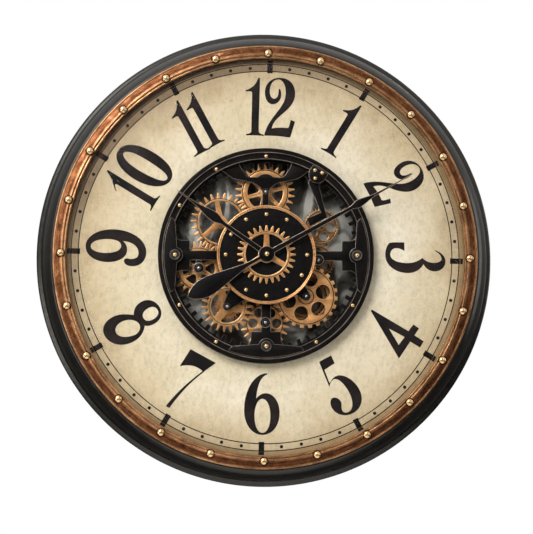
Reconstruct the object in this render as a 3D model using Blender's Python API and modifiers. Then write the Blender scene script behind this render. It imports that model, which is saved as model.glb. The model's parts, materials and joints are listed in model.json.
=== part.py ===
"""A round wall clock with a window of turning gears, as an assembly of separate pieces.

Everything is laid out on the clock's face: x to the right, y up, and depth measured forward from the wall,
in millimetres. The empty "clock_axis" turns that face upright, so the dial looks along -Y and the wall is
the plane Y = 0.
"""

import math

import bmesh
import bpy
from mathutils import Matrix

MM = 0.001
GAP = 0.3  # clearance between touching pieces

# Driving dimensions, in millimetres
CASE_R = 266.7  # 21 inches across
DIAL_FRONT = 40.0
DIAL_T = 1.6
BEZEL_FRONT = 48.0
BEZEL_OUTER_R = 246.4
BEZEL_INNER_R = 231.0
RIVET_CIRCLE_R = 239.4
RIVET_R = 4.3
RIVET_COUNT = 24
LENS_R = 230.6
LENS_RISE = 33.0
LENS_T = 3.0
WINDOW_OUTER_R = 124.9
WINDOW_STEP_R = 119.2
WINDOW_INNER_R = 111.6
WINDOW_FRONT = 52.0
WELL_R = 113.0
WELL_BACK = 20.5
RING_ROOT_R = 109.2
RING_TIP_R = 103.4
RING_TEETH = 60
DISC_R = 57.2
DISC_FRONT = 58.0
BRIDGE_LOW, BRIDGE_HIGH = 44.3, 46.7
FINE_LAYER = (26.0, 28.5)
REAR_LAYER = (30.2, 33.2)
FRONT_LAYER = (35.2, 38.2)
SHOW_LAYER = (39.6, 42.1)
POST_R = 1.9
BORE_R = 2.2
BUSH_R = 4.6

# Sides of the round shapes
BIG, MEDIUM, SMALL = 40, 32, 10

# Wheel train: teeth and modules
COARSE = 2.4
FINE = 1.2
SUN, LEFT_REAR = 29, 15
TOP, UPPER_LEFT, LEFT, LOWER_LEFT = 26, 26, 24, 22
DRIVE, BOTTOM, MOTOR_PINION = 26, 21, 12
FINE_BEHIND, RIGHT, UPPER_RIGHT = 41, 33, 35
SHOW_TEETH = 23

SLOTS = {
    "black_case": ((0.030, 0.028, 0.026), 0.55, 0.38),
    "bronze": ((0.300, 0.140, 0.065), 0.90, 0.42),
    "dial": ((0.740, 0.650, 0.470), 0.00, 0.70),
    "glass": ((0.900, 0.950, 0.940), 0.00, 0.04),
    "black_metal": ((0.022, 0.019, 0.018), 0.60, 0.42),
    "copper": ((0.780, 0.430, 0.220), 0.95, 0.32),
    "gold": ((0.830, 0.600, 0.300), 1.00, 0.25),
    "mirror": ((0.420, 0.430, 0.410), 1.00, 0.20),
    "steel": ((0.560, 0.560, 0.560), 1.00, 0.30),
    "black_plastic": ((0.035, 0.035, 0.038), 0.00, 0.45),
    "white_plastic": ((0.780, 0.770, 0.740), 0.00, 0.50),
    "cell": ((0.160, 0.200, 0.190), 0.40, 0.35),
}

for old in list(bpy.data.objects):
    bpy.data.objects.remove(old, do_unlink=True)

parts = bpy.data.collections.new("wall_clock")
bpy.context.scene.collection.children.link(parts)

clock_axis = bpy.data.objects.new("clock_axis", None)
clock_axis.rotation_euler = (math.pi / 2, 0, 0)
parts.objects.link(clock_axis)


def make_material(slot):
    colour, metallic, roughness = SLOTS[slot]
    material = bpy.data.materials.new(slot)
    material.use_nodes = True
    shader = material.node_tree.nodes["Principled BSDF"]
    shader.inputs["Base Color"].default_value = (*colour, 1)
    shader.inputs["Metallic"].default_value = metallic
    shader.inputs["Roughness"].default_value = roughness
    return material


materials = {slot: make_material(slot) for slot in SLOTS}


# ---------------------------------------------------------------- outlines on the face


def polar(radius, clock_deg, centre=(0.0, 0.0)):
    """The point at a clock angle, measured clockwise from 12, round a centre."""
    a = math.radians(clock_deg)
    return (centre[0] + radius * math.sin(a), centre[1] + radius * math.cos(a))


def arc(radius, start_deg, end_deg, steps, centre=(0.0, 0.0)):
    """Points along an arc from one clock angle to another."""
    return [polar(radius, start_deg + (end_deg - start_deg) * i / steps, centre) for i in range(steps + 1)]


def ring(radius, steps, centre=(0.0, 0.0)):
    return arc(radius, 0, 360 - 360 / steps, steps - 1, centre)


def teeth(count, root_r, tip_r, phase_deg=0.0, root_share=0.56, tip_share=0.16):
    """A toothed outline: each share is the part of the pitch that a tooth fills at that radius."""
    points = []
    half = 180 / count
    for i in range(count):
        at = phase_deg + 360 * i / count
        points += [polar(root_r, at - half * root_share), polar(tip_r, at - half * tip_share)]
        points += [polar(tip_r, at + half * tip_share), polar(root_r, at + half * root_share)]
    return points


def pointed_teeth(count, root_r, tip_r, phase_deg=0.0, root_share=0.52):
    """Fine teeth, each a plain wedge."""
    points = []
    half = 180 / count * root_share
    for i in range(count):
        at = phase_deg + 360 * i / count
        points += [polar(root_r, at - half), polar(tip_r, at), polar(root_r, at + half)]
    return points


def windows(count, inner_r, outer_r, spoke_w, phase_deg=0.0, steps=3):
    """The openings between straight spokes of one width. A spoke stands at phase_deg."""
    openings = []
    for i in range(count):
        start, end = phase_deg + 360 * i / count, phase_deg + 360 * (i + 1) / count
        inner_cut = math.degrees(math.asin(spoke_w / 2 / inner_r))
        outer_cut = math.degrees(math.asin(spoke_w / 2 / outer_r))
        outer = arc(outer_r, start + outer_cut, end - outer_cut, steps)
        inner = arc(inner_r, end - inner_cut, start + inner_cut, max(1, steps // 3))
        openings.append(outer + inner)
    return openings


def moved(points, shift):
    return [(x + shift[0], y + shift[1]) for x, y in points]


def turned_by(points, clock_deg):
    """Points turned clockwise about the axis."""
    c, s = math.cos(math.radians(clock_deg)), math.sin(math.radians(clock_deg))
    return [(x * c + y * s, y * c - x * s) for x, y in points]


def mirrored(points):
    """A right-hand half outline, given from its first to its last point, closed with its mirror image."""
    return points + [(-x, y) for x, y in reversed(points)]


# ---------------------------------------------------------------- solids


def evaluated_mesh(obj, face_out=True):
    """The object's mesh with its modifiers applied; the object is removed.

    A mesh that a Boolean made keeps its own normals, because it may have a cavity.
    """
    bpy.context.view_layer.update()
    mesh = bpy.data.meshes.new_from_object(obj.evaluated_get(bpy.context.evaluated_depsgraph_get()))
    bpy.data.objects.remove(obj, do_unlink=True)
    work = bmesh.new()
    work.from_mesh(mesh)
    bmesh.ops.remove_doubles(work, verts=work.verts, dist=1e-6)
    if face_out:
        bmesh.ops.recalc_face_normals(work, faces=work.faces)
    work.to_mesh(mesh)
    work.free()
    return mesh


def plate(loops, low, high):
    """A flat plate between two depths. The first loop is its outline and the others are its openings."""
    curve = bpy.data.curves.new("outline", "CURVE")
    curve.dimensions = "2D"
    curve.fill_mode = "BOTH"
    curve.extrude = (high - low) / 2 * MM
    curve.render_resolution_u = 0
    for points in loops:
        spline = curve.splines.new("POLY")
        spline.points.add(len(points) - 1)
        for corner, (x, y) in zip(spline.points, points):
            corner.co = (x * MM, y * MM, 0, 1)
        spline.use_cyclic_u = True
    obj = bpy.data.objects.new("outline", curve)
    parts.objects.link(obj)
    mesh = evaluated_mesh(obj)
    bpy.data.curves.remove(curve)
    mesh.transform(Matrix.Translation((0, 0, (low + high) / 2 * MM)))
    return mesh


def turned(profile, steps, centre=(0.0, 0.0), closed=True):
    """A turned solid: profile points are (radius, depth). A profile that ends on the axis isn't closed."""
    mesh = bpy.data.meshes.new("profile")
    points = [(r * MM, 0, d * MM) for r, d in profile]
    edges = [(i, i + 1) for i in range(len(points) - 1)]
    if closed:
        edges.append((len(points) - 1, 0))
    mesh.from_pydata(points, edges, [])
    obj = bpy.data.objects.new("profile", mesh)
    parts.objects.link(obj)
    screw = obj.modifiers.new("Screw", "SCREW")
    screw.steps = screw.render_steps = steps
    screw.use_merge_vertices = True
    screw.merge_threshold = 1e-5
    solid = evaluated_mesh(obj)
    bpy.data.meshes.remove(mesh)
    solid.transform(Matrix.Translation((centre[0] * MM, centre[1] * MM, 0)))
    return solid


def rod(radius, low, high, steps=SMALL, centre=(0.0, 0.0)):
    return turned([(0, high), (radius, high), (radius, low), (0, low)], steps, centre, closed=False)


def tube(inner_r, outer_r, low, high, steps=SMALL, centre=(0.0, 0.0)):
    return turned([(outer_r, high), (outer_r, low), (inner_r, low), (inner_r, high)], steps, centre)


def block(x_span, y_span, depth_span):
    (x0, x1), (y0, y1), (low, high) = x_span, y_span, depth_span
    return plate([[(x0, y0), (x1, y0), (x1, y1), (x0, y1)]], low, high)


def combined(base, extras, operation):
    """One mesh from a Boolean of the base with each of the extras."""
    for extra in extras:
        obj = bpy.data.objects.new("base", base)
        other = bpy.data.objects.new("extra", extra)
        parts.objects.link(obj)
        parts.objects.link(other)
        step = obj.modifiers.new(operation, "BOOLEAN")
        step.operation = operation
        step.object = other
        base = evaluated_mesh(obj, face_out=False)
        bpy.data.objects.remove(other, do_unlink=True)
    return base


def joined(base, *extras):
    return combined(base, extras, "UNION")


def cut(base, *cutters):
    return combined(base, cutters, "DIFFERENCE")


def half_of(mesh, side):
    """The half of a solid on the right, 1, or the left, -1, of the clock's middle line, closed where it is cut."""
    half = mesh.copy()
    work = bmesh.new()
    work.from_mesh(half)
    bmesh.ops.bisect_plane(work, geom=work.verts[:] + work.edges[:] + work.faces[:], clear_inner=True,
                           plane_co=(side * GAP / 2 * MM, 0, 0), plane_no=(side, 0, 0))
    bmesh.ops.edgeloop_fill(work, edges=[edge for edge in work.edges if edge.is_boundary])
    bmesh.ops.recalc_face_normals(work, faces=work.faces)
    work.to_mesh(half)
    work.free()
    return half


def piece(name, slot, mesh, at=(0.0, 0.0)):
    """A named sub-part. The mesh is laid out round its own pivot, which stands at a point of the face."""
    mesh.name = name
    mesh.materials.clear()
    mesh.materials.append(materials[slot])
    mesh.shade_smooth()
    mesh.set_sharp_from_angle(angle=math.radians(30))
    obj = bpy.data.objects.new(name, mesh)
    obj.parent = clock_axis
    obj.location = (at[0] * MM, at[1] * MM, 0)
    parts.objects.link(obj)
    return obj


# ---------------------------------------------------------------- case, bezel, lens and dial

SHEET = 1.8  # thickness of the case's flat rings
CASE_INNER_R = CASE_R - 2.0
SEAT_FRONT = 43.2  # the ring that the bezel sits on
SEAT_OUTER_R = 247.6
case_profile = [
    (CASE_INNER_R, 0.0), (CASE_R, 0.0), (CASE_R, 10.0), (260.6, 13.0), (256.6, 32.0), (249.3, 42.0),
    (SEAT_OUTER_R + GAP, 41.0), (254.8, 31.2), (258.8, 11.4), (CASE_INNER_R, 8.6),
]
shell = turned(case_profile, BIG)
piece("outer_case_right", "black_case", half_of(shell, 1))
piece("outer_case_left", "black_case", half_of(shell, -1))
piece("rear_flange", "black_case", tube(250.0, CASE_INNER_R - GAP, 0.0, SHEET, BIG))
piece("bezel_seat", "black_case", tube(239.2, SEAT_OUTER_R, SEAT_FRONT - SHEET, SEAT_FRONT, BIG))

BEZEL_BACK = SEAT_FRONT + GAP
BEZEL_STEP_R = 234.8
bezel_profile = [
    (BEZEL_OUTER_R, BEZEL_BACK), (BEZEL_OUTER_R, BEZEL_FRONT), (BEZEL_STEP_R, BEZEL_FRONT),
    (BEZEL_STEP_R, BEZEL_FRONT - 1.4), (BEZEL_INNER_R, BEZEL_FRONT - 2.0), (BEZEL_INNER_R, BEZEL_BACK),
]
bezel = turned(bezel_profile, BIG)
dome = [(r, BEZEL_FRONT + d) for r, d in [(0, 2.6), (2.4, 2.0), (RIVET_R, -1.0), (0, -1.0)]]
rivet_spots = arc(RIVET_CIRCLE_R, 0, 360 - 360 / RIVET_COUNT, RIVET_COUNT - 1)
rivets = [turned(dome, 6, spot, closed=False) for spot in rivet_spots]
piece("rivet_ring", "bronze", joined(bezel, *rivets))


def lens_height(radius, edge_r, rise, low):
    """A dome with a steep edge and a broad, nearly flat middle."""
    return low + rise * math.sqrt(max(0.0, 1 - (radius / edge_r) ** 8))


def lens_skin(edge_r, rise, low):
    """The dome's points from its edge to the axis, closer together where it is steep."""
    shares = (1.0, 0.98, 0.93, 0.84, 0.6, 0.0)
    return [(edge_r * s, lens_height(edge_r * s, edge_r, rise, low)) for s in shares]


LENS_LOW = DIAL_FRONT + GAP
outer_skin = lens_skin(LENS_R, LENS_RISE, LENS_LOW + LENS_T)
inner_skin = lens_skin(LENS_R - LENS_T, LENS_RISE, LENS_LOW)
lens_flange = [(238.2, LENS_LOW), (238.2, LENS_LOW + LENS_T)]
lens_profile = list(reversed(outer_skin[:-1])) + list(reversed(lens_flange)) + inner_skin
lens_profile = [outer_skin[-1]] + lens_profile
piece("glass_lens", "glass", turned(lens_profile, BIG, closed=False))

DIAL_OUTER_R = 238.2
DIAL_HOLE_R = 115.6
DIAL_BACK = DIAL_FRONT - DIAL_T
piece("dial_plate", "dial", tube(DIAL_HOLE_R, DIAL_OUTER_R, DIAL_BACK, DIAL_FRONT, BIG))

SUPPORT_HIGH = DIAL_BACK - GAP
piece("support_ring", "black_metal", tube(226.0, 249.4, SUPPORT_HIGH - 1.6, SUPPORT_HIGH, BIG))

# ---------------------------------------------------------------- back cover and hanger

COVER_LOW, COVER_HIGH = 2.1, 3.3
HANGER_Y = 214.0
cover = tube(100.0, 258.0, COVER_LOW, COVER_HIGH, BIG)
nail_room = rod(13.0, COVER_LOW - 2, COVER_HIGH + 2, SMALL, (0, HANGER_Y))
piece("back_cover", "black_metal", cut(cover, nail_room))

keyhole = arc(5.5, 30, 330, 10, (0, HANGER_Y - 4)) + [(-2.6, HANGER_Y + 9), (2.6, HANGER_Y + 9)]
hanger_outline = [(-32, HANGER_Y - 15), (32, HANGER_Y - 15), (32, HANGER_Y + 15), (-32, HANGER_Y + 15)]
piece("hanger_plate", "steel", plate([hanger_outline, keyhole], 0.3, 1.8))

# ---------------------------------------------------------------- wheel places, worked out from the teeth


def beside(centre, clock_deg, module, first_teeth, second_teeth):
    """Where the second wheel's pivot stands when it meshes with the first in that direction."""
    return polar(module * (first_teeth + second_teeth) / 2, clock_deg, centre)


def phase_beside(first_phase, first_teeth, clock_deg, second_teeth):
    """The second wheel's phase, so that its gap faces the first wheel's tooth."""
    turns = (clock_deg - first_phase) * first_teeth / 360
    return clock_deg + 180 + (0.5 + turns) * 360 / second_teeth


TOP_AT = (-0.6, 74.4)
TO_UPPER_LEFT, TO_LEFT, TO_LOWER_LEFT = 236.2, 205.0, 143.1
TO_DRIVE, TO_BOTTOM, TO_RIGHT, TO_UPPER_RIGHT = 135.2, 237.0, 18.7, 6.2
AXIS = (0.0, 0.0)
upper_left_at = beside(TOP_AT, TO_UPPER_LEFT, COARSE, TOP, UPPER_LEFT)
left_at = beside(upper_left_at, TO_LEFT, COARSE, UPPER_LEFT, LEFT)
lower_left_at = beside(left_at, TO_LOWER_LEFT, COARSE, LEFT, LOWER_LEFT)
drive_at = beside(AXIS, TO_DRIVE, COARSE, SUN, DRIVE)
bottom_at = beside(drive_at, TO_BOTTOM, COARSE, DRIVE, BOTTOM)
right_at = beside(drive_at, TO_RIGHT, FINE, FINE_BEHIND, RIGHT)
upper_right_at = beside(right_at, TO_UPPER_RIGHT, FINE, RIGHT, UPPER_RIGHT)


def clock_angle(start, end):
    return math.degrees(math.atan2(end[0] - start[0], end[1] - start[1]))


# The motor's pinion meshes with the drive wheel on the axis and with the small wheel behind the left wheel.
TO_SUN = COARSE * (SUN + MOTOR_PINION) / 2
TO_LEFT_REAR = COARSE * (LEFT_REAR + MOTOR_PINION) / 2
left_r = math.hypot(*left_at)
swing = math.degrees(math.acos((TO_SUN**2 + left_r**2 - TO_LEFT_REAR**2) / (2 * TO_SUN * left_r)))
motor_deg = clock_angle(AXIS, left_at) + swing
motor_at = polar(TO_SUN, motor_deg)

upper_left_phase = phase_beside(0, TOP, TO_UPPER_LEFT, UPPER_LEFT)
left_phase = phase_beside(upper_left_phase, UPPER_LEFT, TO_LEFT, LEFT)
lower_left_phase = phase_beside(left_phase, LEFT, TO_LOWER_LEFT, LOWER_LEFT)
drive_phase = phase_beside(0, SUN, TO_DRIVE, DRIVE)
bottom_phase = phase_beside(drive_phase, DRIVE, TO_BOTTOM, BOTTOM)
right_phase = phase_beside(0, FINE_BEHIND, TO_RIGHT, RIGHT)
upper_right_phase = phase_beside(right_phase, RIGHT, TO_UPPER_RIGHT, UPPER_RIGHT)
motor_phase = phase_beside(0, SUN, motor_deg, MOTOR_PINION)
left_rear_phase = phase_beside(motor_phase, MOTOR_PINION, clock_angle(motor_at, left_at), LEFT_REAR)

# ---------------------------------------------------------------- the well that holds the gears

WELL_FLOOR = WELL_BACK + 1.5
WELL_TOP = 38.1
WELL_WALL = 1.4
WELL_OUTER_R = WELL_R + WELL_WALL
well_profile = [
    (121.5, WELL_TOP), (121.5, WELL_TOP - WELL_WALL), (WELL_OUTER_R, WELL_TOP - WELL_WALL),
    (WELL_OUTER_R, WELL_BACK), (5.0, WELL_BACK), (5.0, WELL_FLOOR), (WELL_R, WELL_FLOOR),
    (WELL_R, WELL_TOP),
]
well = cut(turned(well_profile, BIG), rod(3.4, WELL_BACK - 2, WELL_FLOOR + 2, SMALL, motor_at))
piece("gear_well", "black_metal", well)

MIRROR_LOW = WELL_FLOOR + GAP
MIRROR_HIGH = MIRROR_LOW + 1.2
mirror_loops = [ring(112.4, BIG), ring(5.2, SMALL), ring(3.4, SMALL, motor_at)]
piece("mirror_plate", "mirror", plate(mirror_loops, MIRROR_LOW, MIRROR_HIGH))

# ---------------------------------------------------------------- toothed ring, window ring, segment plates

internal = teeth(RING_TEETH, RING_ROOT_R, RING_TIP_R, 3.0, 0.42, 0.40)
piece("toothed_ring", "black_metal", plate([ring(118.0, BIG), internal], 40.6, 43.6))

window_profile = [
    (WINDOW_OUTER_R, DIAL_FRONT + GAP), (WINDOW_OUTER_R, WINDOW_FRONT), (WINDOW_STEP_R, WINDOW_FRONT),
    (WINDOW_STEP_R, WINDOW_FRONT - 1.4), (WINDOW_INNER_R, WINDOW_FRONT - 1.4),
    (WINDOW_INNER_R, WINDOW_FRONT - 4.6), (118.6, WINDOW_FRONT - 4.6), (118.6, DIAL_FRONT + GAP),
]
piece("window_ring", "black_metal", turned(window_profile, BIG))

SEGMENT_LOW = WINDOW_FRONT - 1.1
SEGMENT_HIGH = WINDOW_FRONT + 0.9
SEGMENT_CHORD = 105.2  # distance of the inner edge from the axis
BOSS_R = 9.0
SEAT_R = 118.3  # just inside the window ring's step


def segment_plate(name, clock_deg):
    """A chord-edged plate over the ring, with a half-round bump and a capped screw boss."""
    outer = arc(SEAT_R, -21.5, 21.5, 8)
    bump = arc(BOSS_R, 108, 252, 8, (0, SEGMENT_CHORD))
    shoulder_x = SEGMENT_CHORD * math.tan(math.radians(21.0))
    outline = outer + [(shoulder_x + 2.2, SEGMENT_CHORD + 3.2), (shoulder_x - 1.0, SEGMENT_CHORD)] + bump
    outline += [(-shoulder_x + 1.0, SEGMENT_CHORD), (-shoulder_x - 2.2, SEGMENT_CHORD + 3.2)]
    body = plate([turned_by(outline, clock_deg)], SEGMENT_LOW, SEGMENT_HIGH)
    top = SEGMENT_HIGH
    boss = [(0, top + 3.6), (2.5, top + 1.9), (6.2, top + 1.7), (6.2, top - 1.0), (0, top - 1.0)]
    screw_cap = turned(boss, SMALL, polar(SEGMENT_CHORD, clock_deg), closed=False)
    piece(name, "black_metal", joined(body, screw_cap))


segment_plate("right_segment_plate", 90)
segment_plate("bottom_segment_plate", 180)
segment_plate("left_segment_plate", 270)

# ---------------------------------------------------------------- wheels

COARSE_TIP, COARSE_ROOT = 1.40, 1.55  # tooth height above and below the pitch circle, in modules
FINE_TIP, FINE_ROOT = 1.0, 1.25


def coarse_teeth(count, phase):
    pitch_r = COARSE * count / 2
    return teeth(count, pitch_r - COARSE_ROOT * COARSE, pitch_r + COARSE_TIP * COARSE, phase)


def hidden_teeth(count, phase):
    """Coarse teeth that are out of sight, as plain wedges."""
    pitch_r = COARSE * count / 2
    return pointed_teeth(count, pitch_r - COARSE_ROOT * COARSE, pitch_r + COARSE_TIP * COARSE, phase)


def fine_teeth(count, phase):
    pitch_r = FINE * count / 2
    return pointed_teeth(count, pitch_r - FINE_ROOT * FINE, pitch_r + FINE_TIP * FINE, phase)


def with_hub(loops, layer, hub_r, hub_low, hub_high, bore_r=BORE_R):
    """A wheel plate with a hub through it and a bore through both."""
    low, high = layer
    hub = rod(hub_r, hub_low, hub_high, SMALL)
    return cut(joined(plate(loops, low, high), hub), rod(bore_r, low - 30, high + 30, SMALL))


low, high = FRONT_LAYER

top_loops = [coarse_teeth(TOP, 0)] + windows(6, 8.0, 20.6, 4.6, 15)
piece("top_wheel", "copper", with_hub(top_loops, FRONT_LAYER, 5.4, low - 1, high + 1), TOP_AT)

upper_left_loops = [coarse_teeth(UPPER_LEFT, upper_left_phase)] + windows(3, 7.4, 24.8, 5.6, 350, 6)
upper_left = with_hub(upper_left_loops, FRONT_LAYER, 6.0, low - 1, high + 1.4)
piece("upper_left_wheel", "copper", upper_left, upper_left_at)

left_loops = [coarse_teeth(LEFT, left_phase)] + windows(6, 8.0, 18.8, 4.6, 0)
left = with_hub(left_loops, FRONT_LAYER, 5.4, REAR_LAYER[0], high + 1)
left_rear = plate([hidden_teeth(LEFT_REAR, left_rear_phase), ring(2.6, SMALL)], *REAR_LAYER)
piece("left_wheel", "copper", joined(left, left_rear), left_at)

lower_left_loops = [coarse_teeth(LOWER_LEFT, lower_left_phase)] + windows(3, 8.4, 18.6, 9.0, 98, 5)
lower_left = with_hub(lower_left_loops, FRONT_LAYER, 5.0, 30.6, high + 1)
fine_wheel = plate([fine_teeth(24, 0), ring(2.6, SMALL)], 31.0, 33.4)
piece("lower_left_wheel", "copper", joined(lower_left, fine_wheel), lower_left_at)

low, high = REAR_LAYER
bottom_holes = [ring(5.6, 10, polar(13.8, 30 + 60 * i)) for i in range(6)]
bottom_loops = [coarse_teeth(BOTTOM, bottom_phase)] + bottom_holes
piece("bottom_wheel", "copper", with_hub(bottom_loops, REAR_LAYER, 4.6, low - 1, high + 1), bottom_at)

show_low, show_high = SHOW_LAYER
show_holes = [ring(8.3, 12, polar(20.4, 15 + 60 * i)) for i in range(6)]
show_loops = [teeth(SHOW_TEETH, 33.4, 36.8, 0, 0.50, 0.44)] + show_holes
show_wheel = with_hub(show_loops, SHOW_LAYER, 6.4, show_low - 1, show_high + 1)
piece("lower_right_wheel", "copper", show_wheel, drive_at)

drive_loops = [coarse_teeth(DRIVE, drive_phase)] + windows(3, 8.0, 25.4, 5.0, 45, 3)
fine_loops = [fine_teeth(FINE_BEHIND, 0), *windows(3, 8.0, 20.6, 5.0, 45, 3), ring(2.6, SMALL)]
drive = with_hub(drive_loops, REAR_LAYER, 6.0, FINE_LAYER[0], show_low - 1.3)
piece("lower_right_drive_wheel", "copper", joined(drive, plate(fine_loops, *FINE_LAYER)), drive_at)

low, high = FINE_LAYER
right_holes = [ring(4.4, 8, polar(11.6, 60 * i)) for i in range(6)]
right_loops = [fine_teeth(RIGHT, right_phase)] + right_holes
piece("right_wheel", "bronze", with_hub(right_loops, FINE_LAYER, 5.0, low - 1, high + 1), right_at)

upper_right_holes = [ring(5.2, 10, polar(11.4, 20 + 72 * i)) for i in range(5)]
upper_right_loops = [fine_teeth(UPPER_RIGHT, upper_right_phase)] + upper_right_holes
upper_right = with_hub(upper_right_loops, FINE_LAYER, 5.0, low - 1, high + 1)
piece("upper_right_wheel", "copper", upper_right, upper_right_at)

low, high = REAR_LAYER
sun = with_hub([hidden_teeth(SUN, 0)], REAR_LAYER, 10.0, low - 1, high + 1, BUSH_R + GAP)
piece("drive_wheel", "copper", sun)

# ---------------------------------------------------------------- posts that the wheels turn on


def post(name, at, wheel_low, top):
    """A fixed post: a foot up to the wheel, a shaft through it, and a rounded end."""
    foot = MIRROR_HIGH + GAP
    profile = [
        (0, top), (POST_R, top - 1.6), (POST_R, wheel_low - 1.3), (3.4, wheel_low - 1.3), (3.4, foot),
        (0, foot),
    ]
    piece(name, "steel", turned(profile, 8, closed=False), at)


POST_TOP = 49.5
post("top_post", TOP_AT, FRONT_LAYER[0], POST_TOP)
post("upper_left_post", upper_left_at, FRONT_LAYER[0], 42.0)
post("left_post", left_at, REAR_LAYER[0] + 0.9, POST_TOP)
post("lower_left_post", lower_left_at, 30.9, POST_TOP)
post("bottom_post", bottom_at, REAR_LAYER[0], POST_TOP)
post("lower_right_post", drive_at, FINE_LAYER[0] + 1.0, POST_TOP)
post("right_post", right_at, FINE_LAYER[0], POST_TOP)
post("upper_right_post", upper_right_at, FINE_LAYER[0], 31.6)

# ---------------------------------------------------------------- bridges, yoke, lever and spider

def post_bore(at):
    return rod(BORE_R, BRIDGE_LOW - 2, BRIDGE_HIGH + 2, SMALL, at)


LOBE_R = 6.4
BRIDGE_OUT = 116.0  # the bridges' ends, clamped under the window ring


def bridge(name, clock_deg, post_at):
    """A spade-shaped bridge: a slim arm, a broad end with hollowed shoulders, and a lobe on its post."""
    right_half = [(5.5, 54.4), (5.5, 88.0), (17.5, 88.0), (17.5, 97.0)]
    right_half += arc(8.0, 270, 342, 5, (25.5, 97.0)) + arc(BRIDGE_OUT, 15.5, 3, 3)
    body = plate([turned_by(mirrored(right_half), clock_deg)], BRIDGE_LOW, BRIDGE_HIGH)
    lobe = rod(LOBE_R, BRIDGE_LOW + 0.2, BRIDGE_HIGH + 0.8, 16, post_at)
    x, y = turned_by([post_at], -clock_deg)[0]
    if abs(x) > LOBE_R:
        stem = [(0, y - 3.4), (0, y + 3.4), (x, y + 3.4), (x, y - 3.4)]
        lobe = joined(lobe, plate([turned_by(stem, clock_deg)], BRIDGE_LOW + 0.4, BRIDGE_HIGH - 0.3))
    piece(name, "black_metal", cut(joined(body, lobe), post_bore(post_at)))


bridge("right_bridge", 90, right_at)
bridge("bottom_bridge", 180, bottom_at)
bridge("left_bridge", 270, left_at)

yoke_half = [(3.6, 54.6), (3.6, 73.0), (7.2, 78.4), (15.8, 85.1), (37.7, 89.5), (53.2, 100.6)]
yoke_half += arc(BRIDGE_OUT, 27.6, 15.4, 4) + [(29.7, 104.8), (23.6, 95.0), (13.4, 91.6)]
yoke_half += arc(12.9, 46, 8, 3, (0, 82.4))
yoke = plate([moved(mirrored(yoke_half), (TOP_AT[0], 0))], BRIDGE_LOW, BRIDGE_HIGH)
piece("top_yoke", "black_metal", cut(yoke, post_bore(TOP_AT)))

TAB_AT = (59.6, 94.4)
lever_outline = [
    (52.0, 92.0), (49.0, 85.4), (63.6, 50.6), (47.2, 43.4), (51.2, 34.4), (71.0, 44.6), (61.4, 82.6),
    (66.0, 88.0), (64.0, 96.0),
]
lever = plate([lever_outline], BRIDGE_LOW, BRIDGE_HIGH)
TAB_DEG = 32.3
tab_outline = arc(SEAT_R, TAB_DEG - 5, TAB_DEG + 5, 1) + arc(10.4, TAB_DEG + 90, TAB_DEG + 270, 8, TAB_AT)
tab = plate([tab_outline], SEGMENT_LOW, SEGMENT_HIGH - 0.4)
neck = rod(5.0, BRIDGE_LOW + 0.4, SEGMENT_HIGH - 0.8, SMALL, polar(105.6, TAB_DEG))
piece("bent_lever", "black_metal", joined(lever, neck, tab))

SPIDER_R = 53.8


def finger(to, base_deg, base_w, tip_r=5.2):
    """A tapered finger from the spider's ring to a post."""
    root = polar(SPIDER_R - 6, base_deg)
    along = clock_angle(root, to)
    left, right = polar(base_w / 2, along - 90, root), polar(base_w / 2, along + 90, root)
    outline = [left] + arc(tip_r, along - 80, along + 80, 5, to) + [right]
    return plate([outline], BRIDGE_LOW + 0.2, BRIDGE_HIGH - 0.2)


hub_plate = plate([ring(SPIDER_R, MEDIUM), ring(30.0, 20)], BRIDGE_LOW, BRIDGE_HIGH)
spider = joined(hub_plate, finger(lower_left_at, 216, 26), finger(drive_at, 135, 18))
piece("spider_plate", "black_metal", cut(spider, post_bore(lower_left_at), post_bore(drive_at)))

# ---------------------------------------------------------------- centre disc, its rim and its gear

DISC_LOW = BRIDGE_HIGH + 1.2
HUB_HOLE_R = 4.9
disc_profile = [
    (53.4, DISC_FRONT), (55.6, DISC_FRONT - 0.4), (55.6, DISC_LOW), (53.8, DISC_LOW),
    (53.8, DISC_FRONT - 1.8), (HUB_HOLE_R, DISC_FRONT - 1.8), (HUB_HOLE_R, DISC_FRONT),
]
piece("centre_disc", "black_metal", turned(disc_profile, MEDIUM))

rim_profile = [
    (DISC_R, DISC_FRONT - 4.0), (DISC_R, DISC_FRONT + 2.4), (55.6, DISC_FRONT + 3.0),
    (53.7, DISC_FRONT + 1.6), (53.7, DISC_FRONT + GAP), (55.95, DISC_FRONT + GAP), (55.95, DISC_FRONT - 4.0),
]
piece("centre_rim", "gold", turned(rim_profile, MEDIUM))

CENTRE_TEETH = 28
centre_loops = [teeth(CENTRE_TEETH, 27.4, 33.8, 0, 0.64, 0.2), ring(HUB_HOLE_R, SMALL)]
centre_loops += windows(3, 9.4, 24.2, 6.4, 0, 6)
piece("centre_gear", "copper", plate(centre_loops, DISC_FRONT + GAP, DISC_FRONT + 2.3))

# ---------------------------------------------------------------- quartz movement

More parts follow.
